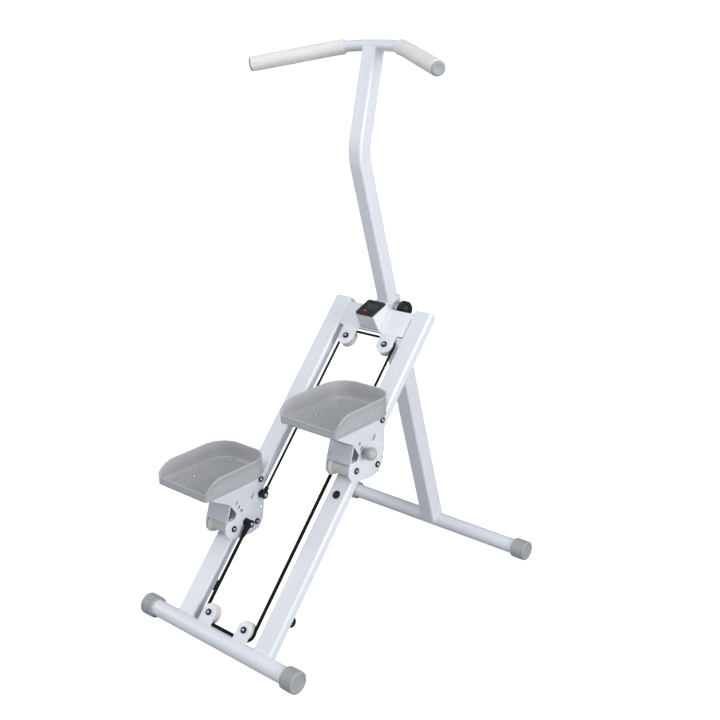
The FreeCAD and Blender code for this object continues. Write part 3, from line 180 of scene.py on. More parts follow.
BEZEL = material("display_black", (0.010, 0.010, 0.012), (0.14, 0.24), 0.15, 40.0, grain=(1500, 0.05, 0.0002),
                 coat=0.4)
GLASS = material("display_glass", (0.020, 0.045, 0.040), (0.08, 0.14), 0.25, 60.0, coat=0.6)
DIGIT = material("display_digit", (0.006, 0.010, 0.009), (0.25, 0.35), 0.2, 60.0)
RED = material("button_red", (0.62, 0.015, 0.012), (0.28, 0.38), 0.06, 90.0, grain=(2600, 0.1, 0.0002),
               coat=0.3)
ZINC = material("zinc_steel", (0.62, 0.63, 0.65), (0.26, 0.42), 0.06, 60.0, metal=1.0,
                grain=(1800, 0.12, 0.0002))
# dark colour: the pulley nuts' own black, and painted shade and dark reflection on the carriage bolts' cups
DARK_STEEL_AND_SHADE = material("dark_steel", (0.012, 0.012, 0.014), (0.30, 0.42), 0.15, 60.0,
                      grain=(1800, 0.15, 0.0002),
                      gloss=0.35)
CORD = material("cable_cover", (0.005, 0.005, 0.006), (0.60, 0.80), 0.2, 120.0, grain=(3000, 0.4, 0.0004),
                gloss=0.2)

FINISHES = {
    "painted_frame": PAINT, "pedal_plastic": PEDAL, "cap_plastic": CAP, "foam": FOAM, "roller_nylon": NYLON,
    "pin_plastic": PIN, "black_plastic": BLACK, "black_rubber": RUBBER, "white_plastic": WHITE,
    "display_glass": GLASS, "button_red": RED, "zinc_steel": ZINC, "cable_black": CORD,
}
SLOTS = {finish.name: slot for slot, finish in FINISHES.items()}
SLOTS.update(display_black="black_plastic", display_digit="display_glass", dark_steel="zinc_steel")

# ---- mesh helpers


def finish_mesh(name, mesh, finish, body, replaces=(), sharp=38.0):
    """Turns a mesh in row metres into a named piece with its finish and body."""
    mesh.name = name
    tidy = bmesh.new()
    tidy.from_mesh(mesh)
    bmesh.ops.remove_doubles(tidy, verts=tidy.verts, dist=1e-6)
    bmesh.ops.recalc_face_normals(tidy, faces=tidy.faces)
    tidy.to_mesh(mesh)
    tidy.free()
    mesh.shade_smooth()
    mesh.set_sharp_from_angle(angle=math.radians(sharp))
    piece = bpy.data.objects.new(name, mesh)
    bpy.context.scene.collection.objects.link(piece)
    mesh.materials.clear()
    mesh.materials.append(finish)
    if replaces:
        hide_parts(*replaces)
    if body:
        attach(piece, body)
    return piece


def raw(verts, faces, place=Matrix.Identity(4)):
    mesh = bpy.data.meshes.new("raw")
    mesh.from_pydata([(place @ Vector(v)) * MM for v in verts], [], faces)
    return mesh


def merge(*meshes):
    """One mesh from several, each kept as its own closed shell."""
    whole = bmesh.new()
    for mesh in meshes:
        whole.from_mesh(mesh)
    result = bpy.data.meshes.new("merged")
    whole.to_mesh(result)
    whole.free()
    return result


def lathe(profile, place, steps=48, wave=None):
    """A closed shell turned about local Z. profile is (radius, z); wave(angle, z) scales the radius."""
    verts, faces, rings = [], [], []
    for radius, z in profile:
        if radius < 1e-6:
            rings.append([len(verts)])
            verts.append((0, 0, z))
            continue
        ring = []
        for i in range(steps):
            angle = TAU * i / steps
            scale = wave(angle, z) if wave else 1.0
            ring.append(len(verts))
            verts.append((radius * scale * math.cos(angle), radius * scale * math.sin(angle), z))
        rings.append(ring)
    closed = profile[0][0] > 1e-6 and profile[-1][0] > 1e-6
    pairs = list(zip(rings, rings[1:])) + ([(rings[-1], rings[0])] if closed else [])
    for a, b in pairs:
        if len(a) == len(b) == 1:
            continue
        for i in range(steps):
            j = (i + 1) % steps
            if len(a) == 1:
                faces.append((a[0], b[i], b[j]))
            elif len(b) == 1:
                faces.append((a[i], a[j], b[0]))
            else:
                faces.append((a[i], a[j], b[j], b[i]))
    return raw(verts, faces, place)


def arc_points(centre, radius, start, stop, steps):
    """(a, b) points on an arc, angles in degrees."""
    out = []
    for i in range(steps + 1):
        angle = math.radians(start + (stop - start) * i / steps)
        out.append((centre[0] + radius * math.cos(angle), centre[1] + radius * math.sin(angle)))
    return out


def rounded(corners, steps=6):
    """A closed loop through (x, y, radius) corners, with an arc at each corner that has a radius."""
    loop, count = [], len(corners)
    for i, (x, y, radius) in enumerate(corners):
        here = Vector((x, y))
        if radius <= 0:
            loop.append((x, y))
            continue
        back = (Vector(corners[i - 1][:2]) - here).normalized()
        ahead = (Vector(corners[(i + 1) % count][:2]) - here).normalized()
        half = math.acos(max(-1, min(1, back.dot(ahead)))) / 2
        centre = here + (back + ahead).normalized() * (radius / math.sin(half))
        first = here + back * (radius / math.tan(half))
        last = here + ahead * (radius / math.tan(half))
        a0 = math.atan2(first.y - centre.y, first.x - centre.x)
        a1 = math.atan2(last.y - centre.y, last.x - centre.x)
        delta = (a1 - a0 + math.pi) % TAU - math.pi
        for k in range(steps + 1):
            angle = a0 + delta * k / steps
            loop.append((centre.x + radius * math.cos(angle), centre.y + radius * math.sin(angle)))
    return loop


def disc_loop(x, y, radius, steps=24):
    return [(x + radius * math.cos(TAU * i / steps), y + radius * math.sin(TAU * i / steps))
            for i in range(steps)]


def plate(loops, low, thick, place, edge=0.5):
    """Sheet cut to an outline with holes, edges broken; loops lie in local XY, low is its lower face."""
    curve = bpy.data.curves.new("plate", "CURVE")
    curve.dimensions = "2D"
    curve.fill_mode = "BOTH"
    curve.extrude = thick / 2 - edge
    curve.bevel_depth = edge
    curve.bevel_resolution = 1
    curve.offset = -edge
    for loop in loops:
        spline = curve.splines.new("POLY")
        spline.points.add(len(loop) - 1)
        for point, (x, y) in zip(spline.points, loop):
            point.co = (x, y, 0, 1)
        spline.use_cyclic_u = True
    holder = bpy.data.objects.new("plate", curve)
    bpy.context.scene.collection.objects.link(holder)
    bpy.context.view_layer.update()
    mesh = bpy.data.meshes.new_from_object(holder.evaluated_get(bpy.context.evaluated_depsgraph_get()))
    bpy.data.objects.remove(holder)
    bpy.data.curves.remove(curve)
    mesh.transform(Matrix.Scale(MM, 4) @ place @ shift(0, 0, low + thick / 2))
    return mesh


def settle(shape, place):
    """A mesh in row metres from a shape built in millimetres."""
    bmesh.ops.transform(shape, matrix=Matrix.Scale(MM, 4) @ place, verts=shape.verts)
    mesh = bpy.data.meshes.new("settled")
    shape.to_mesh(mesh)
    shape.free()
    return mesh


def block(low, high, place, edge=0.6, segments=2):
    """A box between two corners with rounded edges."""
    shape = bmesh.new()
    bmesh.ops.create_cube(shape, size=1.0)
    span = [b - a for a, b in zip(low, high)]
    for vert in shape.verts:
        vert.co = Vector([a + s * (c + 0.5) for a, s, c in zip(low, span, vert.co)])
    bmesh.ops.bevel(shape, geom=shape.edges[:], offset=edge, segments=segments, profile=0.5, affect="EDGES")
    return settle(shape, place)


def tube(path, radius, place=Matrix.Identity(4), steps=12, cap=True, ripple=None):
    """A round rod along a list of points; ripple(distance) scales its radius."""
    points = [Vector(p) for p in path]
    closed = (points[0] - points[-1]).length < 1e-6
    if closed:
        points = points[:-1]
    count = len(points)
    tangents = []
    for i in range(count):
        a = points[i - 1] if i or closed else points[i]
        b = points[(i + 1) % count] if i < count - 1 or closed else points[i]
        tangents.append((b - a).normalized())
    side = tangents[0].orthogonal().normalized()
    verts, faces, run = [], [], 0.0
    for i, (point, tangent) in enumerate(zip(points, tangents)):
        if i:
            run += (point - points[i - 1]).length
        side = (side - tangent * side.dot(tangent)).normalized()
        other = tangent.cross(side)
        size = radius * (ripple(run) if ripple else 1.0)
        for k in range(steps):
            angle = TAU * k / steps
            verts.append(point + (side * math.cos(angle) + other * math.sin(angle)) * size)
    rows = count if closed else count - 1
    for i in range(rows):
        for k in range(steps):
            a, b = i * steps + k, i * steps + (k + 1) % steps
            c, d = ((i + 1) % count) * steps + (k + 1) % steps, ((i + 1) % count) * steps + k
            faces.append((a, b, c, d))
    if cap and not closed:
        faces.append(tuple(range(steps)))
        faces.append(tuple(reversed(range((count - 1) * steps, count * steps))))
    return raw(verts, faces, place)


def densify(points, step):
    """The same line with points no further apart than about a step."""
    fine = []
    for a, b in zip(points, points[1:]):
        n = max(1, int((b - a).length / step))
        fine += [a.lerp(b, i / n) for i in range(n)]
    return fine + [points[-1]]


def bead(path, radius=2.6, place=Matrix.Identity(4)):
    """A painted weld bead: a low rod with ripples along it."""
    fine = densify([Vector(p) for p in path], 1.1)
    return tube(fine, radius, place, steps=8, ripple=lambda run: 0.92 + 0.12 * math.sin(run * 1.9))


def hex_nut(across, height, place, bore=4.0):
    """A nut with chamfered corners and a nylon collar."""
    radius = across / math.sqrt(3)
    body = plate([disc_loop(0, 0, radius, 6)], 0, height * 0.72, place, edge=0.7)
    collar = lathe(
        [(bore, height * 0.6), (across * 0.44, height * 0.6), (across * 0.42, height * 0.92),
         (across * 0.36, height), (bore, height)], place, 32)
    return merge(body, collar)


def socket_head(radius, height, place, socket=3.0):
    """A button head with a hexagon socket, its seat at z = 0."""
    dome = [(0, 0), (radius, 0), (radius, height * 0.25)]
    for i in range(1, 7):
        angle = math.radians(90 * i / 7)
        dome.append((socket + 0.6 + (radius - socket - 0.6) * math.cos(angle),
                     height * (0.25 + 0.75 * math.sin(angle))))
    dome += [(socket + 0.3, height), (socket, height - 0.3), (socket * 0.95, height * 0.35),
             (0, height * 0.3)]
    return lathe(dome, place, 36)


def washer(radius, thick, place, bore=4.0):
    profile = [(bore, 0), (radius - 0.3, 0), (radius, 0.3), (radius, thick - 0.3), (radius - 0.3, thick),
               (bore, thick)]
    return lathe(profile, place, 36)


# ---- base tubes, caps, rails


def end_cap(name, half_width, length, axis_y, sign, body):
    """Moulded cap: fluted sleeve, rounded end with a shallow dished face, flat where it stands."""
    place = shift(0, axis_y, 25) @ turn(90 * sign, "Y")
    rim = half_width - length
    flutes = 26

    def wave(angle, z):
        inside = rim + 5 < z < half_width - 6
        return 1 - (0.022 * (0.5 + 0.5 * math.cos(flutes * angle)) ** 3 if inside else 0)

    profile = [(19.1, rim), (23.6, rim), (24.8, rim + 0.8), (25.2, rim + 4.9), (25.1, rim + 5.6)]
    profile += [(25.2, rim + 5.6 + (length - 12.2) * k / 4) for k in range(1, 5)]
    profile += [(25.3, half_width - 5.6), (25.3, half_width - 4)]
    profile += arc_points((21.3, half_width - 4), 4, 15, 90, 5)
    profile += [(18.5, half_width), (17.6, half_width - 0.5), (17.0, half_width - 1.4),
                (9.0, half_width - 1.7),
                (0, half_width - 1.8)]
    profile += [(0, half_width - 5.2), (19.1, half_width - 5.2)]
    mesh = lathe(profile, place, flutes * 8, wave)
    for vert in mesh.vertices:
        vert.co.z = max(vert.co.z, 0.0)
    finish_mesh(f"{name}_moulded", mesh, CAP, body, [name])


for name, sign, _ in SIDES:
    end_cap(f"near_cap_{name}", 245, 35, -398, sign, "front_frame")
    end_cap(f"far_cap_{name}", 307, 38, 398, sign, "rear_leg")

RAIL_CORNERS = [(-25, -22.5, 6), (25, -22.5, 6), (25, 2.5, 6), (-25, 2.5, 6)]
RAIL_SECTION = rounded(RAIL_CORNERS, 5)


def rail_weld(name, sign):
    """Bead where a rail meets the near base tube."""
    path = []
    for x, n in RAIL_SECTION:
        if n > -18.6:
            path.append((sign * RAIL_X + x, math.sqrt(19.0**2 - n * n) + 0.6, n))
    first = next(i for i, (x, s, n) in enumerate(path) if i and abs(x - path[i - 1][0]) > 30)
    path = path[first:] + path[:first]
    finish_mesh(f"rail_weld_{name}", bead(path, 2.4, SLOPE), PAINT, "front_frame")


def rail_top(name, sign):
    """Plastic cap on the rail's top end, with a softened rim."""
    place = SLOPE @ shift(sign * RAIL_X, 0, 0) @ ALONG_Y @ Matrix.Scale(-1, 4, (0, 1, 0))
    mesh = plate([rounded(RAIL_CORNERS, 6)], 868.1, 1.9, place, 0.7)
    finish_mesh(f"rail_cap_{name}_moulded", mesh, WHITE, "front_frame", [f"rail_cap_{name}"])


def rail_stop(name, sign):
    """Domed rubber stop with a groove near its foot."""
    place = SLOPE @ shift(sign * RAIL_X, 103, -22.5) @ turn(180, "X")
    profile = [(0, 0), (14, 0), (14, 3.5), (13.2, 4.3), (13.2, 5.6), (14, 6.4), (14, 20)]
    profile += arc_points((5, 21), 9, 15, 90, 5)
    profile += [(3.2, 30), (2.6, 29.2), (0, 29.0)]
    finish_mesh(f"rail_stop_{name}_rubber", lathe(profile, place, 48), RUBBER, "front_frame",
                [f"rail_stop_{name}"])


plugs = []
for name, sign, _ in SIDES:
    rail_weld(name, sign)
    rail_top(name, sign)
    rail_stop(name, sign)
    place = SLOPE @ shift(sign * RAIL_X, 394, 2.5)
    plugs.append(lathe([(0, -5), (8.8, -5), (8.8, 0), (9.6, 0), (9.9, 0.4), (9.6, 1.0), (7, 1.5), (2.4, 1.7),
                        (0, 1.7)],
                       place, 40))
finish_mesh("rail_plugs_moulded", merge(*plugs), BLACK, "front_frame", ["rail_plugs"])

# ---- cover, console and display

EAR_X, EAR_S = 60.0, 768.0


def cover():
    """Pressed cover with two ears and a folded top edge."""
    corners = [(-99, 860, 0), (-99, 795, 1.5)]
    for middle in (-EAR_X, EAR_X):
        corners += [(middle - 22.5, 795, 3.0), (middle - 22.5, 745.5, 22.2), (middle + 22.5, 745.5, 22.2),
                    (middle + 22.5, 795, 3.0)]
    corners += [(99, 795, 1.5), (99, 860, 0)]
    holes = [disc_loop(x, EAR_S, 4.2) for x in (-EAR_X, EAR_X)]
    loop = [(x, min(s, 857.0)) for x, s in rounded(corners, 8)]
    sheet = plate([loop] + holes, -0.5, 3.0, SLOPE, 0.5)
    fold = arc_points((857.0, -1.0), 3.5, 90, 0, 6) + [(860.5, -6.0), (857.5, -6.0)]
    fold += arc_points((857.0, -1.0), 0.5, 0, 90, 2)
    count = len(fold)
    verts = [(x, s, n) for x in (-99, 99) for s, n in fold]
    faces = [(i, (i + 1) % count, count + (i + 1) % count, count + i) for i in range(count)]
    faces += [tuple(reversed(range(count))), tuple(range(count, 2 * count))]
    finish_mesh("cover_pressed", merge(sheet, raw(verts, faces, SLOPE)), PAINT, "front_frame",
                ["cover_plate"], 30)


def console():
    """White wedge with soft edges that lifts the display off the cover."""
    outline = [(796.5, 2.6), (861.5, 2.6), (866, 17.5), (812, 44.5)]
    shape = bmesh.new()
    rings = []
    for x in (-29.0, 29.0):
        ring = []
        for i, (s, n) in enumerate(outline):
            draft = 1.0 if i < 2 else 0.965
            ring.append(shape.verts.new((x * draft, s, n)))
        rings.append(ring)
    for i in range(4):
        j = (i + 1) % 4
        shape.faces.new((rings[0][i], rings[0][j], rings[1][j], rings[1][i]))
    shape.faces.new(list(reversed(rings[0])))
    shape.faces.new(rings[1])
    bmesh.ops.recalc_face_normals(shape, faces=shape.faces)
    bmesh.ops.bevel(shape, geom=shape.edges[:], offset=2.2, segments=4, profile=0.5, affect="EDGES")
    finish_mesh("console_moulded", settle(shape, SLOPE), WHITE, "front_frame", ["console_shell"])


TOP_TILT = math.degrees(math.atan2(17.5 - 44.5, 866 - 812))
DISPLAY = SLOPE @ shift(0, 812, 44.5) @ turn(TOP_TILT, "X")


def display():
    """Black display: soft-edged case, framed window with dark segments, well for the button."""
    case = plate([rounded([(-26.5, -0.5, 4), (26.5, -0.5, 4), (26.5, 55.5, 4), (-26.5, 55.5, 4)], 6),
                  rounded([(-15.5, 22.0, 2), (19.5, 22.0, 2), (19.5, 43.0, 2), (-15.5, 43.0, 2)], 4),
                  disc_loop(-4, 12.3, 4.6, 32)], 0, 6.0, DISPLAY, 0.9)
    floor = block((-24, 2, 0.4), (24, 53, 1.6), DISPLAY, 0.3, 1)
    frame_path = [(x, y, 6.0) for x, y in rounded([(-16.8, 20.7, 2.5), (20.8, 20.7, 2.5), (20.8, 44.3, 2.5),
                                                   (-16.8, 44.3, 2.5)], 4)]
    rim = tube(frame_path + [frame_path[0]], 0.55, DISPLAY, 8)
    ring_path = [(x, y, 5.9) for x, y in disc_loop(-4, 12.3, 5.6, 32)]
    ring = tube(ring_path + [ring_path[0]], 0.5, DISPLAY, 8)
    finish_mesh("display_case", merge(case, floor, rim, ring), BEZEL, "front_frame", ["display_housing"])
    glass = block((-15.3, 22.2, 3.6), (19.3, 42.8, 5.1), DISPLAY, 0.3, 1)
    finish_mesh("display_pane", glass, GLASS, "front_frame", ["display_window"])
    strokes = []
    for column in range(4):
        x = -12.0 + column * 7.4 + (1.6 if column > 1 else 0)
        for dx0, dx1, dy0, dy1 in ((0, 4, 0, .7), (0, 4, 4.6, 5.3), (0, 4, 9.2, 9.9), (-.4, .3, .6, 4.6),
                                   (3.7, 4.4, .6, 4.6),
                                   (-.4, .3, 5.3, 9.2), (3.7, 4.4, 5.3, 9.2)):
            strokes.append(block((x + dx0, 27.2 + dy0, 5.06), (x + dx1, 27.2 + dy1, 5.16), DISPLAY, 0.03, 1))
    finish_mesh("display_segments", merge(*strokes), DIGIT, "front_frame")
    place = DISPLAY @ shift(-4, 12.3, 0)
    profile = [(0, 3.4), (3.9, 3.4), (3.9, 6.6), (3.6, 7.1), (2.8, 7.4), (1.4, 7.3), (0, 7.2)]
    finish_mesh("reset_button_cap", lathe(profile, place, 40), RED, "reset_button", ["reset_button"])


cover()
console()
display()

# ---- pulleys, ears, bolts


def pulley(label, x, s, n):
    """Moulded pulley: deep groove, rounded flanges, dished sides and a hub."""
    place = SLOPE @ shift(x, s, n)
    groove = [(22.5, 6.1), (22.0, 5.5), (18.1, 4.0), (16.9, 2.2), (16.7, 0)]
    side = [(4.3, 7), (8.0, 7), (8.6, 6.4), (9.4, 5.4), (17.0, 5.4), (18.2, 6.4), (19.0, 6.9), (21.9, 7.0),
            (22.5, 6.7)]
    half = side + groove
    profile = half + [(r, -z) for r, z in reversed(half[:-1])]
    body = lathe(profile, place, 64)
    ribs = []
    for face in (1, -1):
        for i in range(6):
            low, high = (8.2, -0.8, 5.2), (18.0, 0.8, 6.7)
            where = place @ turn(60 * i + 15, "Z") @ (turn(180, "X") if face < 0 else Matrix.Identity(4))
            ribs.append(block(low, high, where, 0.3, 1))
    finish_mesh(f"{label}_moulded", merge(body, *ribs), NYLON, label, [label])


def pulley_bolt(x, s, front, back):
    """Black dished washer and nut, and the bright domed bolt through them."""
    place = SLOPE @ shift(x, s, 0)
    cup = lathe([(3.4, front), (7.4, front), (7.6, front + 0.6), (7.3, front + 2.6), (6.4, front + 3.4),
                 (4.6, front + 3.4), (3.4, front + 2.2)], place, 36)
    nut = hex_nut(12.6, 6.2, place @ shift(0, 0, back) @ turn(180, "X"), 3.9)
    bolt = lathe([(0, back - 7.6), (3.0, back - 7.6), (3.35, back - 7.0), (3.35, front + 3.4),
                  (3.1, front + 4.2),
                  (2.2, front + 4.9), (0, front + 5.2)], place, 28)
    return merge(cup, nut), bolt


def lower_ear(name, sign):
    """Ear plate welded on the base tube, in front of a lower pulley."""
    middle = sign * 57.0
    loop = rounded([(middle - 20, 17.5, 0), (middle + 20, 17.5, 0), (middle + 20, 64, 19.6),
                    (middle - 20, 64, 19.6)], 10)
    mesh = plate([loop, disc_loop(middle, 44, 4.2)], 2.5, 4.0, SLOPE, 0.5)
    weld = bead([(middle - 20, 18.4, 7.0), (middle + 20, 18.4, 7.0)], 2.0, SLOPE)
    back = bead([(middle - 20, 19.4, 2.2), (middle + 20, 19.4, 2.2)], 1.4, SLOPE)
    finish_mesh(f"pulley_ear_{name}_plate", merge(mesh, weld, back), PAINT, "front_frame",
                [f"pulley_ear_{name}"], 30)


cups, bolts = [], []
for name, sign, _ in SIDES:
    pulley(f"upper_pulley_{name}", sign * 60, 768, -9)
    pulley(f"lower_pulley_{name}", sign * 57, 44, -5.5)
    lower_ear(name, sign)
    for cup, bolt in (pulley_bolt(sign * 60, 768, 2.5, -17), pulley_bolt(sign * 57, 44, 6.5, -13.5)):
        cups.append(cup)
        bolts.append(bolt)
finish_mesh("pulley_bolts_set", merge(*bolts), ZINC, "front_frame", ["pulley_bolts"])
finish_mesh("pulley_nuts_set", merge(*cups), DARK_STEEL_AND_SHADE, "front_frame")

# ---- cables and ropes


def strands(path, radius, count, pitch, steps=8):
    """Rods laid round a path as a twisted rope."""
    fine, run = densify([Vector(p) for p in path], 2.2), [0.0]
    for a, b in zip(fine, fine[1:]):
        run.append(run[-1] + (b - a).length)
    n = len(fine)
    up = Vector((0, 0, 1))
    meshes = []
    for strand in range(count):
        line = []
        for i, point in enumerate(fine):
            tangent = (fine[min(i + 1, n - 1)] - fine[max(i - 1, 0)]).normalized()
            across = tangent.cross(up).normalized()
            angle = TAU * (run[i] / pitch + strand / count)
            line.append(point + (across * math.cos(angle) + up * math.sin(angle)) * radius * 0.50)
        meshes.append(tube(line, radius * 0.56, SLOPE, steps))
    return merge(*meshes)


def loop_half(label, sign, radius, pulley_place, run, far_s, upward):
    """Half a loop in the rails' plane: the bridge's half, a quarter turn and the span down to the carriage."""
    x, s, n = pulley_place
    way = 1 if upward else -1
    path = [(0.0, s + way * run, n)]
    quarter = arc_points((0, 0), run, 90, 0, 10)
    path += [(sign * (x + a), s + way * b, n) for a, b in quarter]
    path.append((sign * (x + run), far_s, n))
    count, pitch = (4, 26.0) if upward else (5, 30.0)
    mesh = strands(path, radius, count, pitch)
    core = tube(path, radius * 0.85, SLOPE, 12)
    piece = finish_mesh(f"{label}_laid", merge(mesh, core), CORD, None, [label], 60)
    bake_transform(piece)


for name, sign, place in SIDES:
    loop_half(f"upper_cable_{name}", sign, 3.0, (60, 768, -9), 20.0, place + 102.9 + 20.3, True)
    loop_half(f"lower_rope_{name}", sign, 4.0, (57, 44, -5.5), 21.0, place + 28 - 34.3, False)

# ---- carriages and rollers

SIDE_ON = Matrix(((0, 0, 1, 0), (1, 0, 0, 0), (0, 1, 0, 0), (0, 0, 0, 1)))  # local XY seen as Y and Z
PIVOT = (74.8, 108.2)
ARC = 85.5


def along_slope(s, n):
    """Upright y and z of a point s up and n off the slope."""
    a = math.radians(SLOPE_ANGLE)
    return s * math.cos(a) - n * math.sin(a), s * math.sin(a) + n * math.cos(a)


FRONT_AXLE, REAR_AXLE = along_slope(0, 20.2), along_slope(42.5, -40.2)
CABLE_EYE, ROPE_EYE = along_slope(102.9, -9), along_slope(28, -5.5)


def on_arc(degrees, radius=ARC):
    a = math.radians(degrees)
    return PIVOT[0] - radius * math.cos(a), PIVOT[1] - radius * math.sin(a)


def slot_loop(x, y, length, width, lean, steps=8):
    """A round-ended slot, its long way at lean degrees."""
    half, radius = (length - width) / 2, width / 2
    ax, ay = math.cos(math.radians(lean)), math.sin(math.radians(lean))
    loop = arc_points((x + ax * half, y + ay * half), radius, lean - 90, lean + 90, steps)
    return loop + arc_points((x - ax * half, y - ay * half), radius, lean + 90, lean + 270, steps)


def bracket(side):
    """Two pressed side plates and the web that faces the user."""
    name = side[0]
    place = carriage(side)
    outline = rounded([(-112, 126.5, 1), (-112, 124, 1), (-24, 76, 3), (-4, 47, 6),
                       (-13, 36, 6), (-36, 36, 1), (-39.5, 24, 7), (-41, 6, 8), (-28, -11, 8),
                       (0, -16, 8), (38, -19, 8), (64, -14, 8), (79, 8, 8), (83, 40, 10), (84, 96, 10),
                       (84, 118, 4),
                       (78, 126.5, 4)])
    holes = [disc_loop(*on_arc(angle), radius, 20) for angle,
             radius in ((42.4, 3.5), (32.9, 4.3), (23.4, 4.3))]
    holes += [disc_loop(75.5, 37.4, 3.5, 20), disc_loop(73.5, 18.2, 2.0, 16),
              slot_loop(46.5, 74.4, 15, 6.4, 58)]
    plates = [plate([outline] + holes, low, 3.0, place @ SIDE_ON, 0.45) for low in (-35.0, 32.0)]
    lean = math.degrees(math.atan2(76 - 24, -24 + 39.5))
    slant = place @ shift(0, -24, 76) @ turn(lean, "X")
    web = block((-34.9, -46, -3.2), (34.9, -1.2, -0.1), slant, 1.4, 3)
    beads = []
    for x in (-33.4, 33.4):
        beads.append(bead([(x, -44, -3.0), (x, -3, -3.0)], 1.3, slant))
    finish_mesh(f"carriage_bracket_{name}_plates", merge(*plates, web, *beads), PAINT, f"{name}_carriage",
                [f"carriage_bracket_{name}"], 30)


def carriage_bolts(side):
    """Through bolts: bright domed ends, and dark dished cups outside both plates that paint the shade and dark
    reflection round each bolt end.
    """
    name = side[0]
    steel, dark = [], []
    for y, z in (FRONT_AXLE, REAR_AXLE, PIVOT):
        place = carriage(side) @ shift(0, y, z)
        steel.append(lathe([(0, -39.4), (2.4, -39.2), (3.6, -38.4), (3.9, -37.2), (4.9, -35), (4.9, 35),
                            (3.9, 37.2),
                            (3.6, 38.4), (2.4, 39.2), (0, 39.4)], place @ ALONG_X, 28))
        # painted shade: a dark cup round each end of every bright bolt, standing in for shade and dark
        # reflection on the bolt
        for way in (ALONG_X, turn(-90, "Y")):
            dark.append(lathe([(4.0, 35), (7.3, 35), (7.5, 35.5), (7.2, 37.4), (6.3, 38.2), (5.0, 38.2),
                               (4.0, 37.0)],
                              place @ way, 36))
    finish_mesh(f"carriage_bolts_{name}_steel", merge(*steel), ZINC, f"{name}_carriage",
                [f"carriage_bolts_{name}"])
    # these dark cups are painted shade and dark reflection round the bolt ends
    finish_mesh(f"carriage_bolt_shade_cups_{name}", merge(*dark), DARK_STEEL_AND_SHADE, f"{name}_carriage")


def roller(label, side, point):
    """Spool roller: hub, dished ends, rounded flanges, and shoulders that match the rail's corners."""
    place = carriage(side) @ shift(0, *point) @ ALONG_X
    half = [(5.05, 30), (8.6, 30), (9.2, 29.4), (9.8, 28.4), (20.4, 28.4), (21.4, 29.6), (23.0, 29.8),
            (24.0, 28.8),
            (24.0, 26.4)]
    half += [(23.6 - 6.4 * math.sin(math.radians(a)), 19.0 + 6.4 * math.cos(math.radians(a)))
             for a in range(0, 91, 9)]
    half += [(17.2, 12), (17.25, 6)]
    profile = half + [(17.25, 0)] + [(r, -z) for r, z in reversed(half)]
    body = lathe(profile, place, 72)
    ribs = []
    for end in (1, -1):
        for i in range(8):
            where = place @ (Matrix.Identity(4) if end > 0 else turn(180, "X")) @ turn(45 * i, "Z")
            ribs.append(block((9.0, -0.7, 28.0), (21.0, 0.7, 29.5), where, 0.25, 1))
    finish_mesh(f"{label}_spool", merge(body, *ribs), NYLON, label, [label])


def cable_anchor(side):
    """Bolted eye on the inner plate, with the ferrule that grips the cable."""
    name, sign, _ = side
    place = carriage(side) @ shift(0, *CABLE_EYE)
    across = place @ turn(-90 * sign, "Y")
    eye = lathe([(0, 35), (9.4, 35), (10, 35.6), (10, 37), (8.8, 38), (8.8, 48), (10, 49), (10, 50.4),
                 (9.4, 51), (0, 51)],
                across, 40)
    bolt = socket_head(5.6, 3.4, across @ shift(0, 0, 51), 2.6)
    x = sign * (80 - RAIL_X)
    up_slope = place @ shift(x, 0, 0) @ turn(SLOPE_ANGLE, "X") @ ALONG_Y
    ferrule = [(0, 5), (5.6, 5), (5.6, 8)]
    for k in range(4):
        ferrule += [(5.1, 8.6 + 2.4 * k), (5.1, 9.8 + 2.4 * k), (5.6, 10.4 + 2.4 * k)]
    ferrule += [(5.3, 19), (4.2, 20.1), (0, 20.1)]
    sleeve = lathe(ferrule, up_slope, 32)
    finish_mesh(f"cable_anchor_{name}_eye", merge(eye, sleeve), BLACK, f"{name}_carriage",
                [f"cable_anchor_{name}"])
    finish_mesh(f"cable_anchor_{name}_bolt", bolt, ZINC, f"{name}_carriage")


def rope_sleeve(side):
    """Tapered ribbed boot where the rope enters its eye on the inner plate."""
    name, sign, _ = side
    place = carriage(side) @ shift(0, *ROPE_EYE)
    across = place @ turn(-90 * sign, "Y")
    eye = lathe([(0, 35), (8.8, 35), (9.3, 35.6), (9.3, 38), (8.4, 39), (8.4, 52), (9.3, 53), (9.3, 54.4),
                 (8.8, 55), (0, 55)],
                across, 40)
    bolt = socket_head(5.2, 3.2, across @ shift(0, 0, 55), 2.4)
    x = sign * (78 - RAIL_X)
    down = place @ shift(x, 0, 0) @ turn(SLOPE_ANGLE + 90, "X")
    boot = [(0, 4), (7.4, 4)]
    for k in range(7):
        z = 6.5 + 3.8 * k
        wide = 7.5 - 0.28 * k
        boot += [(wide, z), (wide, z + 1.6), (wide - 0.8, z + 2.1), (wide - 0.8, z + 3.2)]
    boot += [(5.3, 33.0), (4.9, 34.0), (0, 34.0)]
    finish_mesh(f"rope_sleeve_{name}_boot", merge(eye, lathe(boot, down, 40)), RUBBER, f"{name}_carriage",
                [f"rope_sleeve_{name}"])
    finish_mesh(f"rope_sleeve_{name}_bolt", bolt, ZINC, f"{name}_carriage")


def pull_pin(side):
    """Round knob on a spring pin, outside the outer plate."""
    name, sign, _ = side
    place = carriage(side) @ shift(0, *on_arc(42.4)) @ turn(90 * sign, "Y")
    pin = [(0, 27), (2.6, 27), (3.2, 27.8), (3.2, 36.4), (6.2, 36.4), (6.4, 36.9), (6.4, 41.5), (5.4, 42.2),
           (5.0, 44.5),
           (6.0, 45.6), (7.6, 46.6)]
    pin += arc_points((0, 54.0), 15.0, -34, 58, 12)
    pin += [(4.6, 67.9), (2.2, 68.3), (0, 68.4)]
    finish_mesh(f"pull_pin_{name}_knob", lathe(pin, place, 48), PIN, f"pull_pin_{name}",
                [f"pull_pin_{name}"], 50)


# ---- pedals

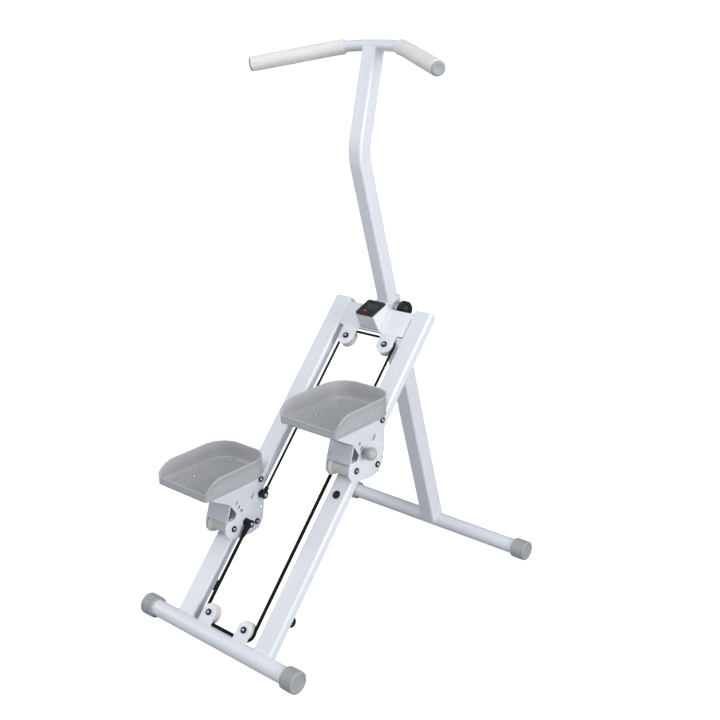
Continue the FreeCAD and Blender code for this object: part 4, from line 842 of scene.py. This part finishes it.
PEDAL_FLOOR, PEDAL_HEIGHT, HEEL, TOE, HALF = 132.4, 47.0, -131.5, 71.0, 83.0
PEDAL_PITCH, PEDAL_SHIFT = 1.9, -4.0
TREAD = PEDAL_FLOOR + 5.0


def pedal_frame(side):
    """The carriage's frame, moved to the pedal's middle and pitched about its heel."""
    return carriage(side) @ shift(PEDAL_SHIFT, HEEL, PEDAL_FLOOR) @ turn(PEDAL_PITCH, "X") @ shift(0, -HEEL,
                                                                                                   -PEDAL_FLOOR)


def under_pedal(y):
    """Height of the pedal's underside at y of the carriage's frame."""
    return PEDAL_FLOOR + (y - HEEL) * math.tan(math.radians(PEDAL_PITCH))


def cradle(side):
    """Pressed channel under the pedal: top plate, two cheeks with the slot the pull pin rides in."""
    name = side[0]
    place = carriage(side)
    end = TOE - 1
    sheet = [rounded([(-30.5 - PEDAL_SHIFT, -112, 5), (30.5 - PEDAL_SHIFT, -112, 5),
                      (30.5 - PEDAL_SHIFT, end, 4),
                      (-30.5 - PEDAL_SHIFT, end, 4)])]
    top = plate(sheet, PEDAL_FLOOR - 3.0, 3.0, pedal_frame(side), 0.4)
    outline = rounded([(-112, under_pedal(-112) - 0.3, 0), (-112, under_pedal(-112) - 3, 1),
                       (-30, under_pedal(-30) - 3, 8),
                       (*on_arc(38.4, ARC + 9), 6), (*on_arc(51.9, ARC + 9), 6), (*on_arc(65.4, ARC + 8), 5),
                       (*on_arc(66.4, ARC - 7), 5), (80.8, 99.2, 8), (83.8, 112.2, 6),
                       (end, under_pedal(end) - 0.3, 0)])
    slot = []
    for radius, start, stop in ((ARC + 3.6, 42.0, 61.9), (ARC - 3.6, 61.9, 42.0)):
        slot += [on_arc(start + (stop - start) * i / 14, radius) for i in range(15)]
    cheeks = [plate([outline, slot, disc_loop(*PIVOT, 5.1)], low, 3.0, place @ SIDE_ON,
                    0.35) for low in (-30.5, 27.5)]
    finish_mesh(f"pedal_cradle_{name}_plates", merge(top, *cheeks), PAINT, f"{name}_pedal",
                [f"pedal_cradle_{name}"], 30)


def rim_height(y):
    """Height of the pedal's rim over its underside: low at the heel, up along an arc, then level."""
    low, radius = 17.0, 60.0
    drop = PEDAL_HEIGHT - low
    reach = math.sqrt(radius**2 - (radius - drop) ** 2)
    left = HEEL + reach - y
    if left <= 0:
        return PEDAL_HEIGHT
    if left >= reach:
        return low
    return PEDAL_HEIGHT - radius + math.sqrt(radius**2 - left**2)


def pedal(side):
    """Moulded pedal: closed rim with a rolled edge, studded tread, screws."""
    name = side[0]
    place = pedal_frame(side)
    corner, heel_corner = 56.0, 11.0
    loop = rounded([(-HALF, HEEL, heel_corner), (HALF, HEEL, heel_corner), (HALF, TOE, corner),
                    (-HALF, TOE, corner)], 14)
    points = [Vector(p) for p in loop]
    fine = densify(points + points[:1], 3.0)[:-1]
    count = len(fine)
    rings = []
    for i, p in enumerate(fine):
        tangent = (fine[(i + 1) % count] - fine[i - 1]).normalized()
        inward = Vector((-tangent.y, tangent.x))
        height = rim_height(p.y)
        tall = max(0.0, min(1.0, (height - 9) / 16))
        lip, lean = 1.3 * tall, 5.0 * (1 - tall) * max(0.0, min(1.0, (HEEL + 12 - p.y) / 8))
        section = [(5.0, 0.0), (2.2, 0.0), (0.7, 0.6), (0.0, 2.2), (lean * 0.5, height * 0.5),
                   (lean * 0.85, height - 4.4 * tall - 1.6), (lean - lip * 0.7, height - 3.6 * tall - 1.3),
                   (lean - lip, height - 2.4), (lean - lip * 0.8, height - 1.1), (lean + 0.4, height - 0.25),
                   (lean + 1.6, height), (lean + 2.8, height - 0.25), (lean + 3.7, height - 1.1),
                   (lean + 4.0, height - 2.2), (lean + 4.0, max(5.2, height * 0.5)),
                   (lean + 4.2, max(5.1, 5.0 + 4.0 * tall)),
                   (lean + 4.1 + 1.4 * tall, max(5.05, 5.0 + 1.2 * tall)),
                   (lean + 4.6 + 4.0 * tall, 5.0)]
        rings.append([(p.x + inward.x * d, p.y + inward.y * d, PEDAL_FLOOR + h) for d, h in section])
    width = len(rings[0])
    verts = [v for ring in rings for v in ring]
    faces = []
    for i in range(count):
        j = (i + 1) % count
        for k in range(width - 1):
            faces.append((i * width + k, i * width + k + 1, j * width + k + 1, j * width + k))
    faces.append(tuple(i * width for i in range(count)))
    faces.append(tuple(i * width + width - 1 for i in reversed(range(count))))
    shell = raw(verts, faces, place)
    finish_mesh(f"pedal_{name}_tray", shell, PEDAL, f"{name}_pedal", [f"pedal_{name}"], 50)

    # tread: low round-topped studs in offset rows, kept clear of the rim and the screws
    screws = [(x - PEDAL_SHIFT, y) for x in (-46, 46) for y in (-57, 58)]
    verts, faces = [], []
    pitch, edge = 6.6, 9.5
    for row in range(int((TOE - HEEL) / (pitch * 0.87))):
        y = HEEL + 15 + row * pitch * 0.87
        for column in range(-13, 14):
            x = (column + (0.5 if row % 2 else 0)) * pitch
            if abs(x) > HALF - edge or y > TOE - edge:
                continue
            if math.hypot(max(abs(x) - (HALF - corner), 0), max(y - (TOE - corner), 0)) > corner - edge:
                continue
            if any(math.hypot(x - sx, y - sy) < 8.2 for sx, sy in screws):
                continue
            base = len(verts)
            for radius, z in ((2.2, -0.3), (2.0, 1.2), (1.1, 1.9)):
                verts += [(x + radius * math.cos(TAU * i / 8), y + radius * math.sin(TAU * i / 8), TREAD + z)
                          for i in range(8)]
            for level in (0, 8):
                for i in range(8):
                    j = (i + 1) % 8
                    faces.append((base + level + i, base + level + j, base + level + 8 + j,
                                  base + level + 8 + i))
            faces.append(tuple(base + 16 + i for i in range(8)))
            faces.append(tuple(base + i for i in reversed(range(8))))
    finish_mesh(f"pedal_{name}_tread", raw(verts, faces, place), PEDAL, f"{name}_pedal", (), 60)
    heads = []
    for x, y in screws:
        where = place @ shift(x, y, TREAD)
        heads.append(socket_head(4.6, 1.9, where @ shift(0, 0, -0.2), 2.0))
        heads.append(washer(6.4, 0.6, where, 2.0))
    finish_mesh(f"pedal_{name}_screws", merge(*heads), ZINC, f"{name}_pedal")
    ribs = []
    for x in (-62, -40, 45, 64):
        ribs.append(block((x - 1.2, -92, PEDAL_FLOOR - 3.0), (x + 1.2, 30, PEDAL_FLOOR + 0.6), place, 0.4, 1))
    for y in (-92, -50, -10, 30):
        for low, high in ((-63, -27.5), (35.5, 65)):
            ribs.append(block((low, y - 1.2, PEDAL_FLOOR - 3.0), (high, y + 1.2, PEDAL_FLOOR + 0.6), place,
                              0.4, 1))
    finish_mesh(f"pedal_{name}_ribs", merge(*ribs), PEDAL, f"{name}_pedal")


for side in SIDES:
    bracket(side)
    carriage_bolts(side)
    roller(f"front_roller_{side[0]}", side, FRONT_AXLE)
    roller(f"rear_roller_{side[0]}", side, REAR_AXLE)
    cable_anchor(side)
    rope_sleeve(side)
    pull_pin(side)
    cradle(side)
    pedal(side)

# ---- rear leg, hinge, knob

LEG_TOP = 694.0


def leg_details():
    """Collar, weld beads and the boss for the clamp knob."""
    ring = plate([rounded([(-24, -24, 6.5), (24, -24, 6.5), (24, 24, 6.5), (-24, 24, 6.5)], 6),
                  rounded([(-19.3, -19.3, 4), (-19.3, 19.3, 4), (19.3, 19.3, 4), (19.3, -19.3, 4)], 5)],
                 LEG_TOP, 6.0, LEG, 1.4)
    finish_mesh("leg_collar_ring", ring, WHITE, "rear_leg", ["leg_collar"])
    beads = []
    for x in (-22.5, 22.5):
        path = [(x, y, math.sqrt(19.0**2 - y * y) + 0.5)
                for y in [19 * math.sin(math.radians(a)) for a in range(-84, 85, 12)]]
        beads.append(bead(path, 2.2, LEG))
    beads.append(bead([(22.5, 8.4 * math.cos(TAU * i / 24),
                        676 + 8.4 * math.sin(TAU * i / 24)) for i in range(25)], 1.2, LEG))
    finish_mesh("leg_welds", merge(*beads), PAINT, "rear_leg")
    boss = lathe([(4.05, 22.5), (8.5, 22.5), (8.5, 27.8), (7.8, 28.5), (4.05, 28.5)],
                 LEG @ shift(0, 0, 676) @ ALONG_X, 40)
    finish_mesh("screw_boss_turned", boss, PAINT, "rear_leg", ["screw_boss"])


def clamp_knob():
    """Black hand knob: lobed grip, domed end, threaded shank."""
    place = LEG @ shift(0, 0, 676) @ ALONG_X

    def wave(angle, z):
        return 1 - (0.07 * (0.5 + 0.5 * math.cos(10 * angle)) ** 2 if 36 < z < 62 else 0)

    profile = [(0, 19.6), (3.4, 19.6), (4.0, 20.2)]
    profile += [(4.0 - (0.35 if k % 2 else 0), 21 + 0.8 * k) for k in range(10)]
    profile += [(4.0, 29.4), (9.0, 29.4), (9.4, 30), (9.4, 33), (11.0, 36.2), (17.5, 38.0), (20.2, 39.4),
                (21.0, 41.4),
                (21.0, 50)]
    profile += [(21.0 * math.cos(math.radians(a)), 50 + 13.5 * math.sin(math.radians(a))) for a in range(10,
                                                                                                         90,
                                                                                                         10)]
    profile += [(0, 63.5)]
    finish_mesh("clamp_knob_moulded", lathe(profile, place, 120, wave), BLACK, "clamp_knob",
                ["clamp_knob"], 45)


FOLD_S, FOLD_N = 824.0, -40.0
FOLD = SLOPE @ Vector((0, FOLD_S, FOLD_N))
FOLD_ON_LEG = LEG.inverted() @ FOLD


def cheek_loops(base, pin, radius, bore):
    """Outline of a hinge cheek: straight sides from its base to a round end about the pin."""
    (ay, az), (by, bz) = base
    centre = Vector(pin)
    a, b = Vector((ay, az)), Vector((by, bz))
    axis = (b - a).normalized()
    away = Vector((-axis.y, axis.x))
    if (centre - a).dot(away) < 0:
        away = -away
    arc = []
    for k in range(13):
        angle = math.pi * k / 12
        arc.append(tuple(centre + axis * radius * math.cos(angle) + away * radius * math.sin(angle)))
    return [[tuple(a), tuple(b)] + arc, disc_loop(*pin, bore)]


def fold_hinge():
    back = -22.5
    loops = cheek_loops(((803, back), (842, back)), (FOLD_S, FOLD_N), 12, 5.0)
    cheeks = [plate(loops, low, 4.0, SLOPE @ SIDE_ON, 0.5) for low in (-23.5, 19.5)]
    foot = block((-23.5, 803, back - 3), (23.5, 842, back), SLOPE, 0.6)
    welds = [bead([(x, 803, back - 0.4), (x, 842, back - 0.4)], 1.6, SLOPE) for x in (-24.2, 24.2)]
    finish_mesh("fold_bracket_plates", merge(*cheeks, foot, *welds), PAINT, "front_frame",
                ["fold_bracket"], 30)
    y, z = FOLD_ON_LEG.y, FOLD_ON_LEG.z
    loops = cheek_loops(((-22.5, z + 24), (-22.5, z - 24)), (y, z), 12, 5.05)
    cheeks = [plate(loops, low, 4.0, LEG @ SIDE_ON, 0.5) for low in (-18.5, 14.5)]
    foot = block((-18.5, -25.5, z - 24), (18.5, -22.5, z + 24), LEG, 0.6)
    finish_mesh("leg_lug_plates", merge(*cheeks, foot), PAINT, "rear_leg", ["leg_lug"], 30)
    place = SLOPE @ shift(0, FOLD_S, FOLD_N) @ ALONG_X
    flip = SLOPE @ shift(0, FOLD_S, FOLD_N) @ turn(-90, "Y")
    parts = [lathe([(0, -27), (4.6, -27), (5, -26.4), (5, 24), (0, 24)], place, 32),
             washer(8.5, 1.0, place @ shift(0, 0, 23.5), 5.0),
             socket_head(7.6, 4.0, place @ shift(0, 0, 24.5), 3.4),
             washer(8.5, 1.0, flip @ shift(0, 0, 23.5), 5.0),
             hex_nut(13.4, 4.0, flip @ shift(0, 0, 24.5), 4.8)]
    finish_mesh("fold_bolt_set", merge(*parts), ZINC, "front_frame", ["fold_bolt"])
    ring = [(99.0, 800, -22.5), (99.0, 845, -22.5), (99.0, 845, -2.5), (99.0, 800, -2.5), (99.0, 800, -22.5)]
    beads = [bead([(sign * (x - 0.3), s, n) for x, s, n in ring], 1.8, SLOPE) for sign in (-1, 1)]
    finish_mesh("cross_tube_welds", merge(*beads), PAINT, "front_frame")


leg_details()
clamp_knob()
fold_hinge()

# ---- handlebar grips

BEND, POST_BEND, VERTEX, REACH = 33.6, 30.32, 1073.0, 238.0
BAR_CENTRE = LEG @ Vector((0, REACH * math.sin(math.radians(POST_BEND)),
                           VERTEX + REACH * math.cos(math.radians(POST_BEND))))
BAR = Matrix.Translation(BAR_CENTRE) @ turn(19, "X")


def bar_path(sign, start_x, steps=14):
    """Middle line of half the bar from start_x out to its end."""
    straight, radius, end_x = 33.0, 130.0, 266.0
    first = math.degrees(math.asin((start_x - straight) / radius))
    points = []
    for k in range(steps + 1):
        angle = math.radians(first + (BEND - first) * k / steps)
        points.append((sign * (straight + radius * math.sin(angle)), -radius * (1 - math.cos(angle)), 0))
    bend = math.radians(BEND)
    x, y = abs(points[-1][0]), points[-1][1]
    run = (end_x - x) / math.cos(bend)
    for k in range(1, 31):
        points.append((sign * (x + run * k / 30 * math.cos(bend)), y - run * k / 30 * math.sin(bend), 0))
    return points


def grip(side):
    """Foam sleeve with soft ends and a slightly uneven surface, and the plug in the bar's end."""
    name, sign, _ = side
    path = [Vector(p) for p in bar_path(sign, 78.0)]
    fine = densify(path, 1.5)
    total = sum((b - a).length for a, b in zip(fine, fine[1:]))

    def swell(run):
        edge = min(run, total - run)
        soft = math.sqrt(max(0.0, 1 - (1 - min(edge / 4.0, 1)) ** 2))
        return (12.8 + 4.2 * soft + 0.10 * math.sin(run * 0.11) + 0.06 * math.sin(run * 0.37)) / 17.0

    finish_mesh(f"grip_{name}_sleeve", tube(fine, 17.0, BAR, 48, ripple=swell), FOAM, "handle_post",
                [f"grip_{name}"], 50)
    end, before = path[-1], path[-2]
    way = (end - before).normalized()
    place = BAR @ Matrix.Translation(end) @ way.to_track_quat("Z", "Y").to_matrix().to_4x4()
    profile = [(0, -12), (10.6, -12), (10.9, -11.6), (10.9, 0.0), (14.6, 0.0), (15.2, 0.5), (15.2, 1.4),
               (14.4, 2.3), (12.0, 3.1),
               (9.4, 3.4), (8.8, 3.1), (8.2, 2.9), (0, 3.1)]
    return lathe(profile, place, 48)


plugs = [grip(side) for side in SIDES]
finish_mesh("bar_end_plugs_moulded", merge(*plugs), CAP, "handle_post", ["bar_end_plugs"])

# ---- camera, light and floor


FLOOR_GLOW, BACKDROP = 0.96, 1.25
SKY_WAY, SKY_LOW, SKY_HIGH = (0.45, -0.35, 0.82), 0.10, 0.42


def floor_finish():
    """Pale matt floor, a little brighter to the camera than its light alone would make it."""
    made = material("studio_floor", (0.42, 0.43, 0.45), (0.85, 0.95), 0.003, 0.6)
    tree = made.node_tree
    shader = tree.nodes["Principled BSDF"]
    shader.inputs["Emission Color"].default_value = (1, 1, 1, 1)
    path = tree.nodes.new("ShaderNodeLightPath")
    glow = tree.nodes.new("ShaderNodeMath")
    glow.operation = "MULTIPLY"
    glow.inputs[1].default_value = FLOOR_GLOW
    tree.links.new(path.outputs["Is Camera Ray"], glow.inputs[0])
    tree.links.new(glow.outputs[0], shader.inputs["Emission Strength"])
    return made


def sky():
    """White backdrop; the light it gives is stronger from above and from the right."""
    world = bpy.data.worlds.new("studio")
    world.use_nodes = True
    tree = world.node_tree
    back = tree.nodes["Background"]
    coords = tree.nodes.new("ShaderNodeTexCoord").outputs["Generated"]
    way = tree.nodes.new("ShaderNodeVectorMath")
    way.operation = "DOT_PRODUCT"
    way.inputs[1].default_value = SKY_WAY
    tree.links.new(coords, way.inputs[0])
    level = spread(tree, way.outputs["Value"], SKY_LOW, SKY_HIGH, -1.0, 1.0)
    path = tree.nodes.new("ShaderNodeLightPath")
    pick = tree.nodes.new("ShaderNodeMix")
    tree.links.new(path.outputs["Is Camera Ray"], pick.inputs[0])
    tree.links.new(level, pick.inputs[2])
    pick.inputs[3].default_value = BACKDROP
    tree.links.new(pick.outputs[0], back.inputs["Strength"])
    back.inputs["Color"].default_value = (0.88, 0.93, 1.0, 1)
    return world


def studio():
    scene = bpy.context.scene
    camera = bpy.data.objects.new("camera", bpy.data.cameras.new("camera"))
    camera.data.lens = 50.577
    camera.data.sensor_width = 36.0
    camera.location = (1.499744, -1.681793, 1.295520)
    camera.rotation_euler = (math.radians(90 - 17.61151), 0, math.radians(40.30659))
    scene.collection.objects.link(camera)
    scene.camera = camera
    scene.view_settings.view_transform = "Standard"

    floor = bpy.data.objects.new("floor", bpy.data.meshes.new("floor"))
    floor.data.from_pydata([(-14, -14, 0), (14, -14, 0), (14, 14, 0), (-14, 14, 0)], [], [(0, 1, 2, 3)])
    floor.data.materials.append(floor_finish())
    scene.collection.objects.link(floor)

    world = sky()
    scene.world = world

    for label, where, aim, power, size in (
        ("key", (0.7, -2.3, 4.0), (0, 0, 0.6), 84, 2.6),
        ("right", (3.4, -0.2, 1.3), (0, 0, 0.6), 74, 1.7),
        ("left", (-2.9, -1.8, 1.7), (0, 0, 0.5), 24, 1.8),
    ):
        lamp = bpy.data.objects.new(label, bpy.data.lights.new(label, "AREA"))
        lamp.data.energy = power
        lamp.data.size = size
        lamp.location = where
        lamp.rotation_euler = (Vector(aim) - Vector(where)).to_track_quat("-Z", "Y").to_euler()
        scene.collection.objects.link(lamp)


studio()

# ---- finishes of the CAD nodes that stay

for entry in frame["record"]["subparts"]:
    node = NODES[entry["node"]]
    node.data.materials.clear()
    node.data.materials.append(FINISHES[entry["material_slot"]])
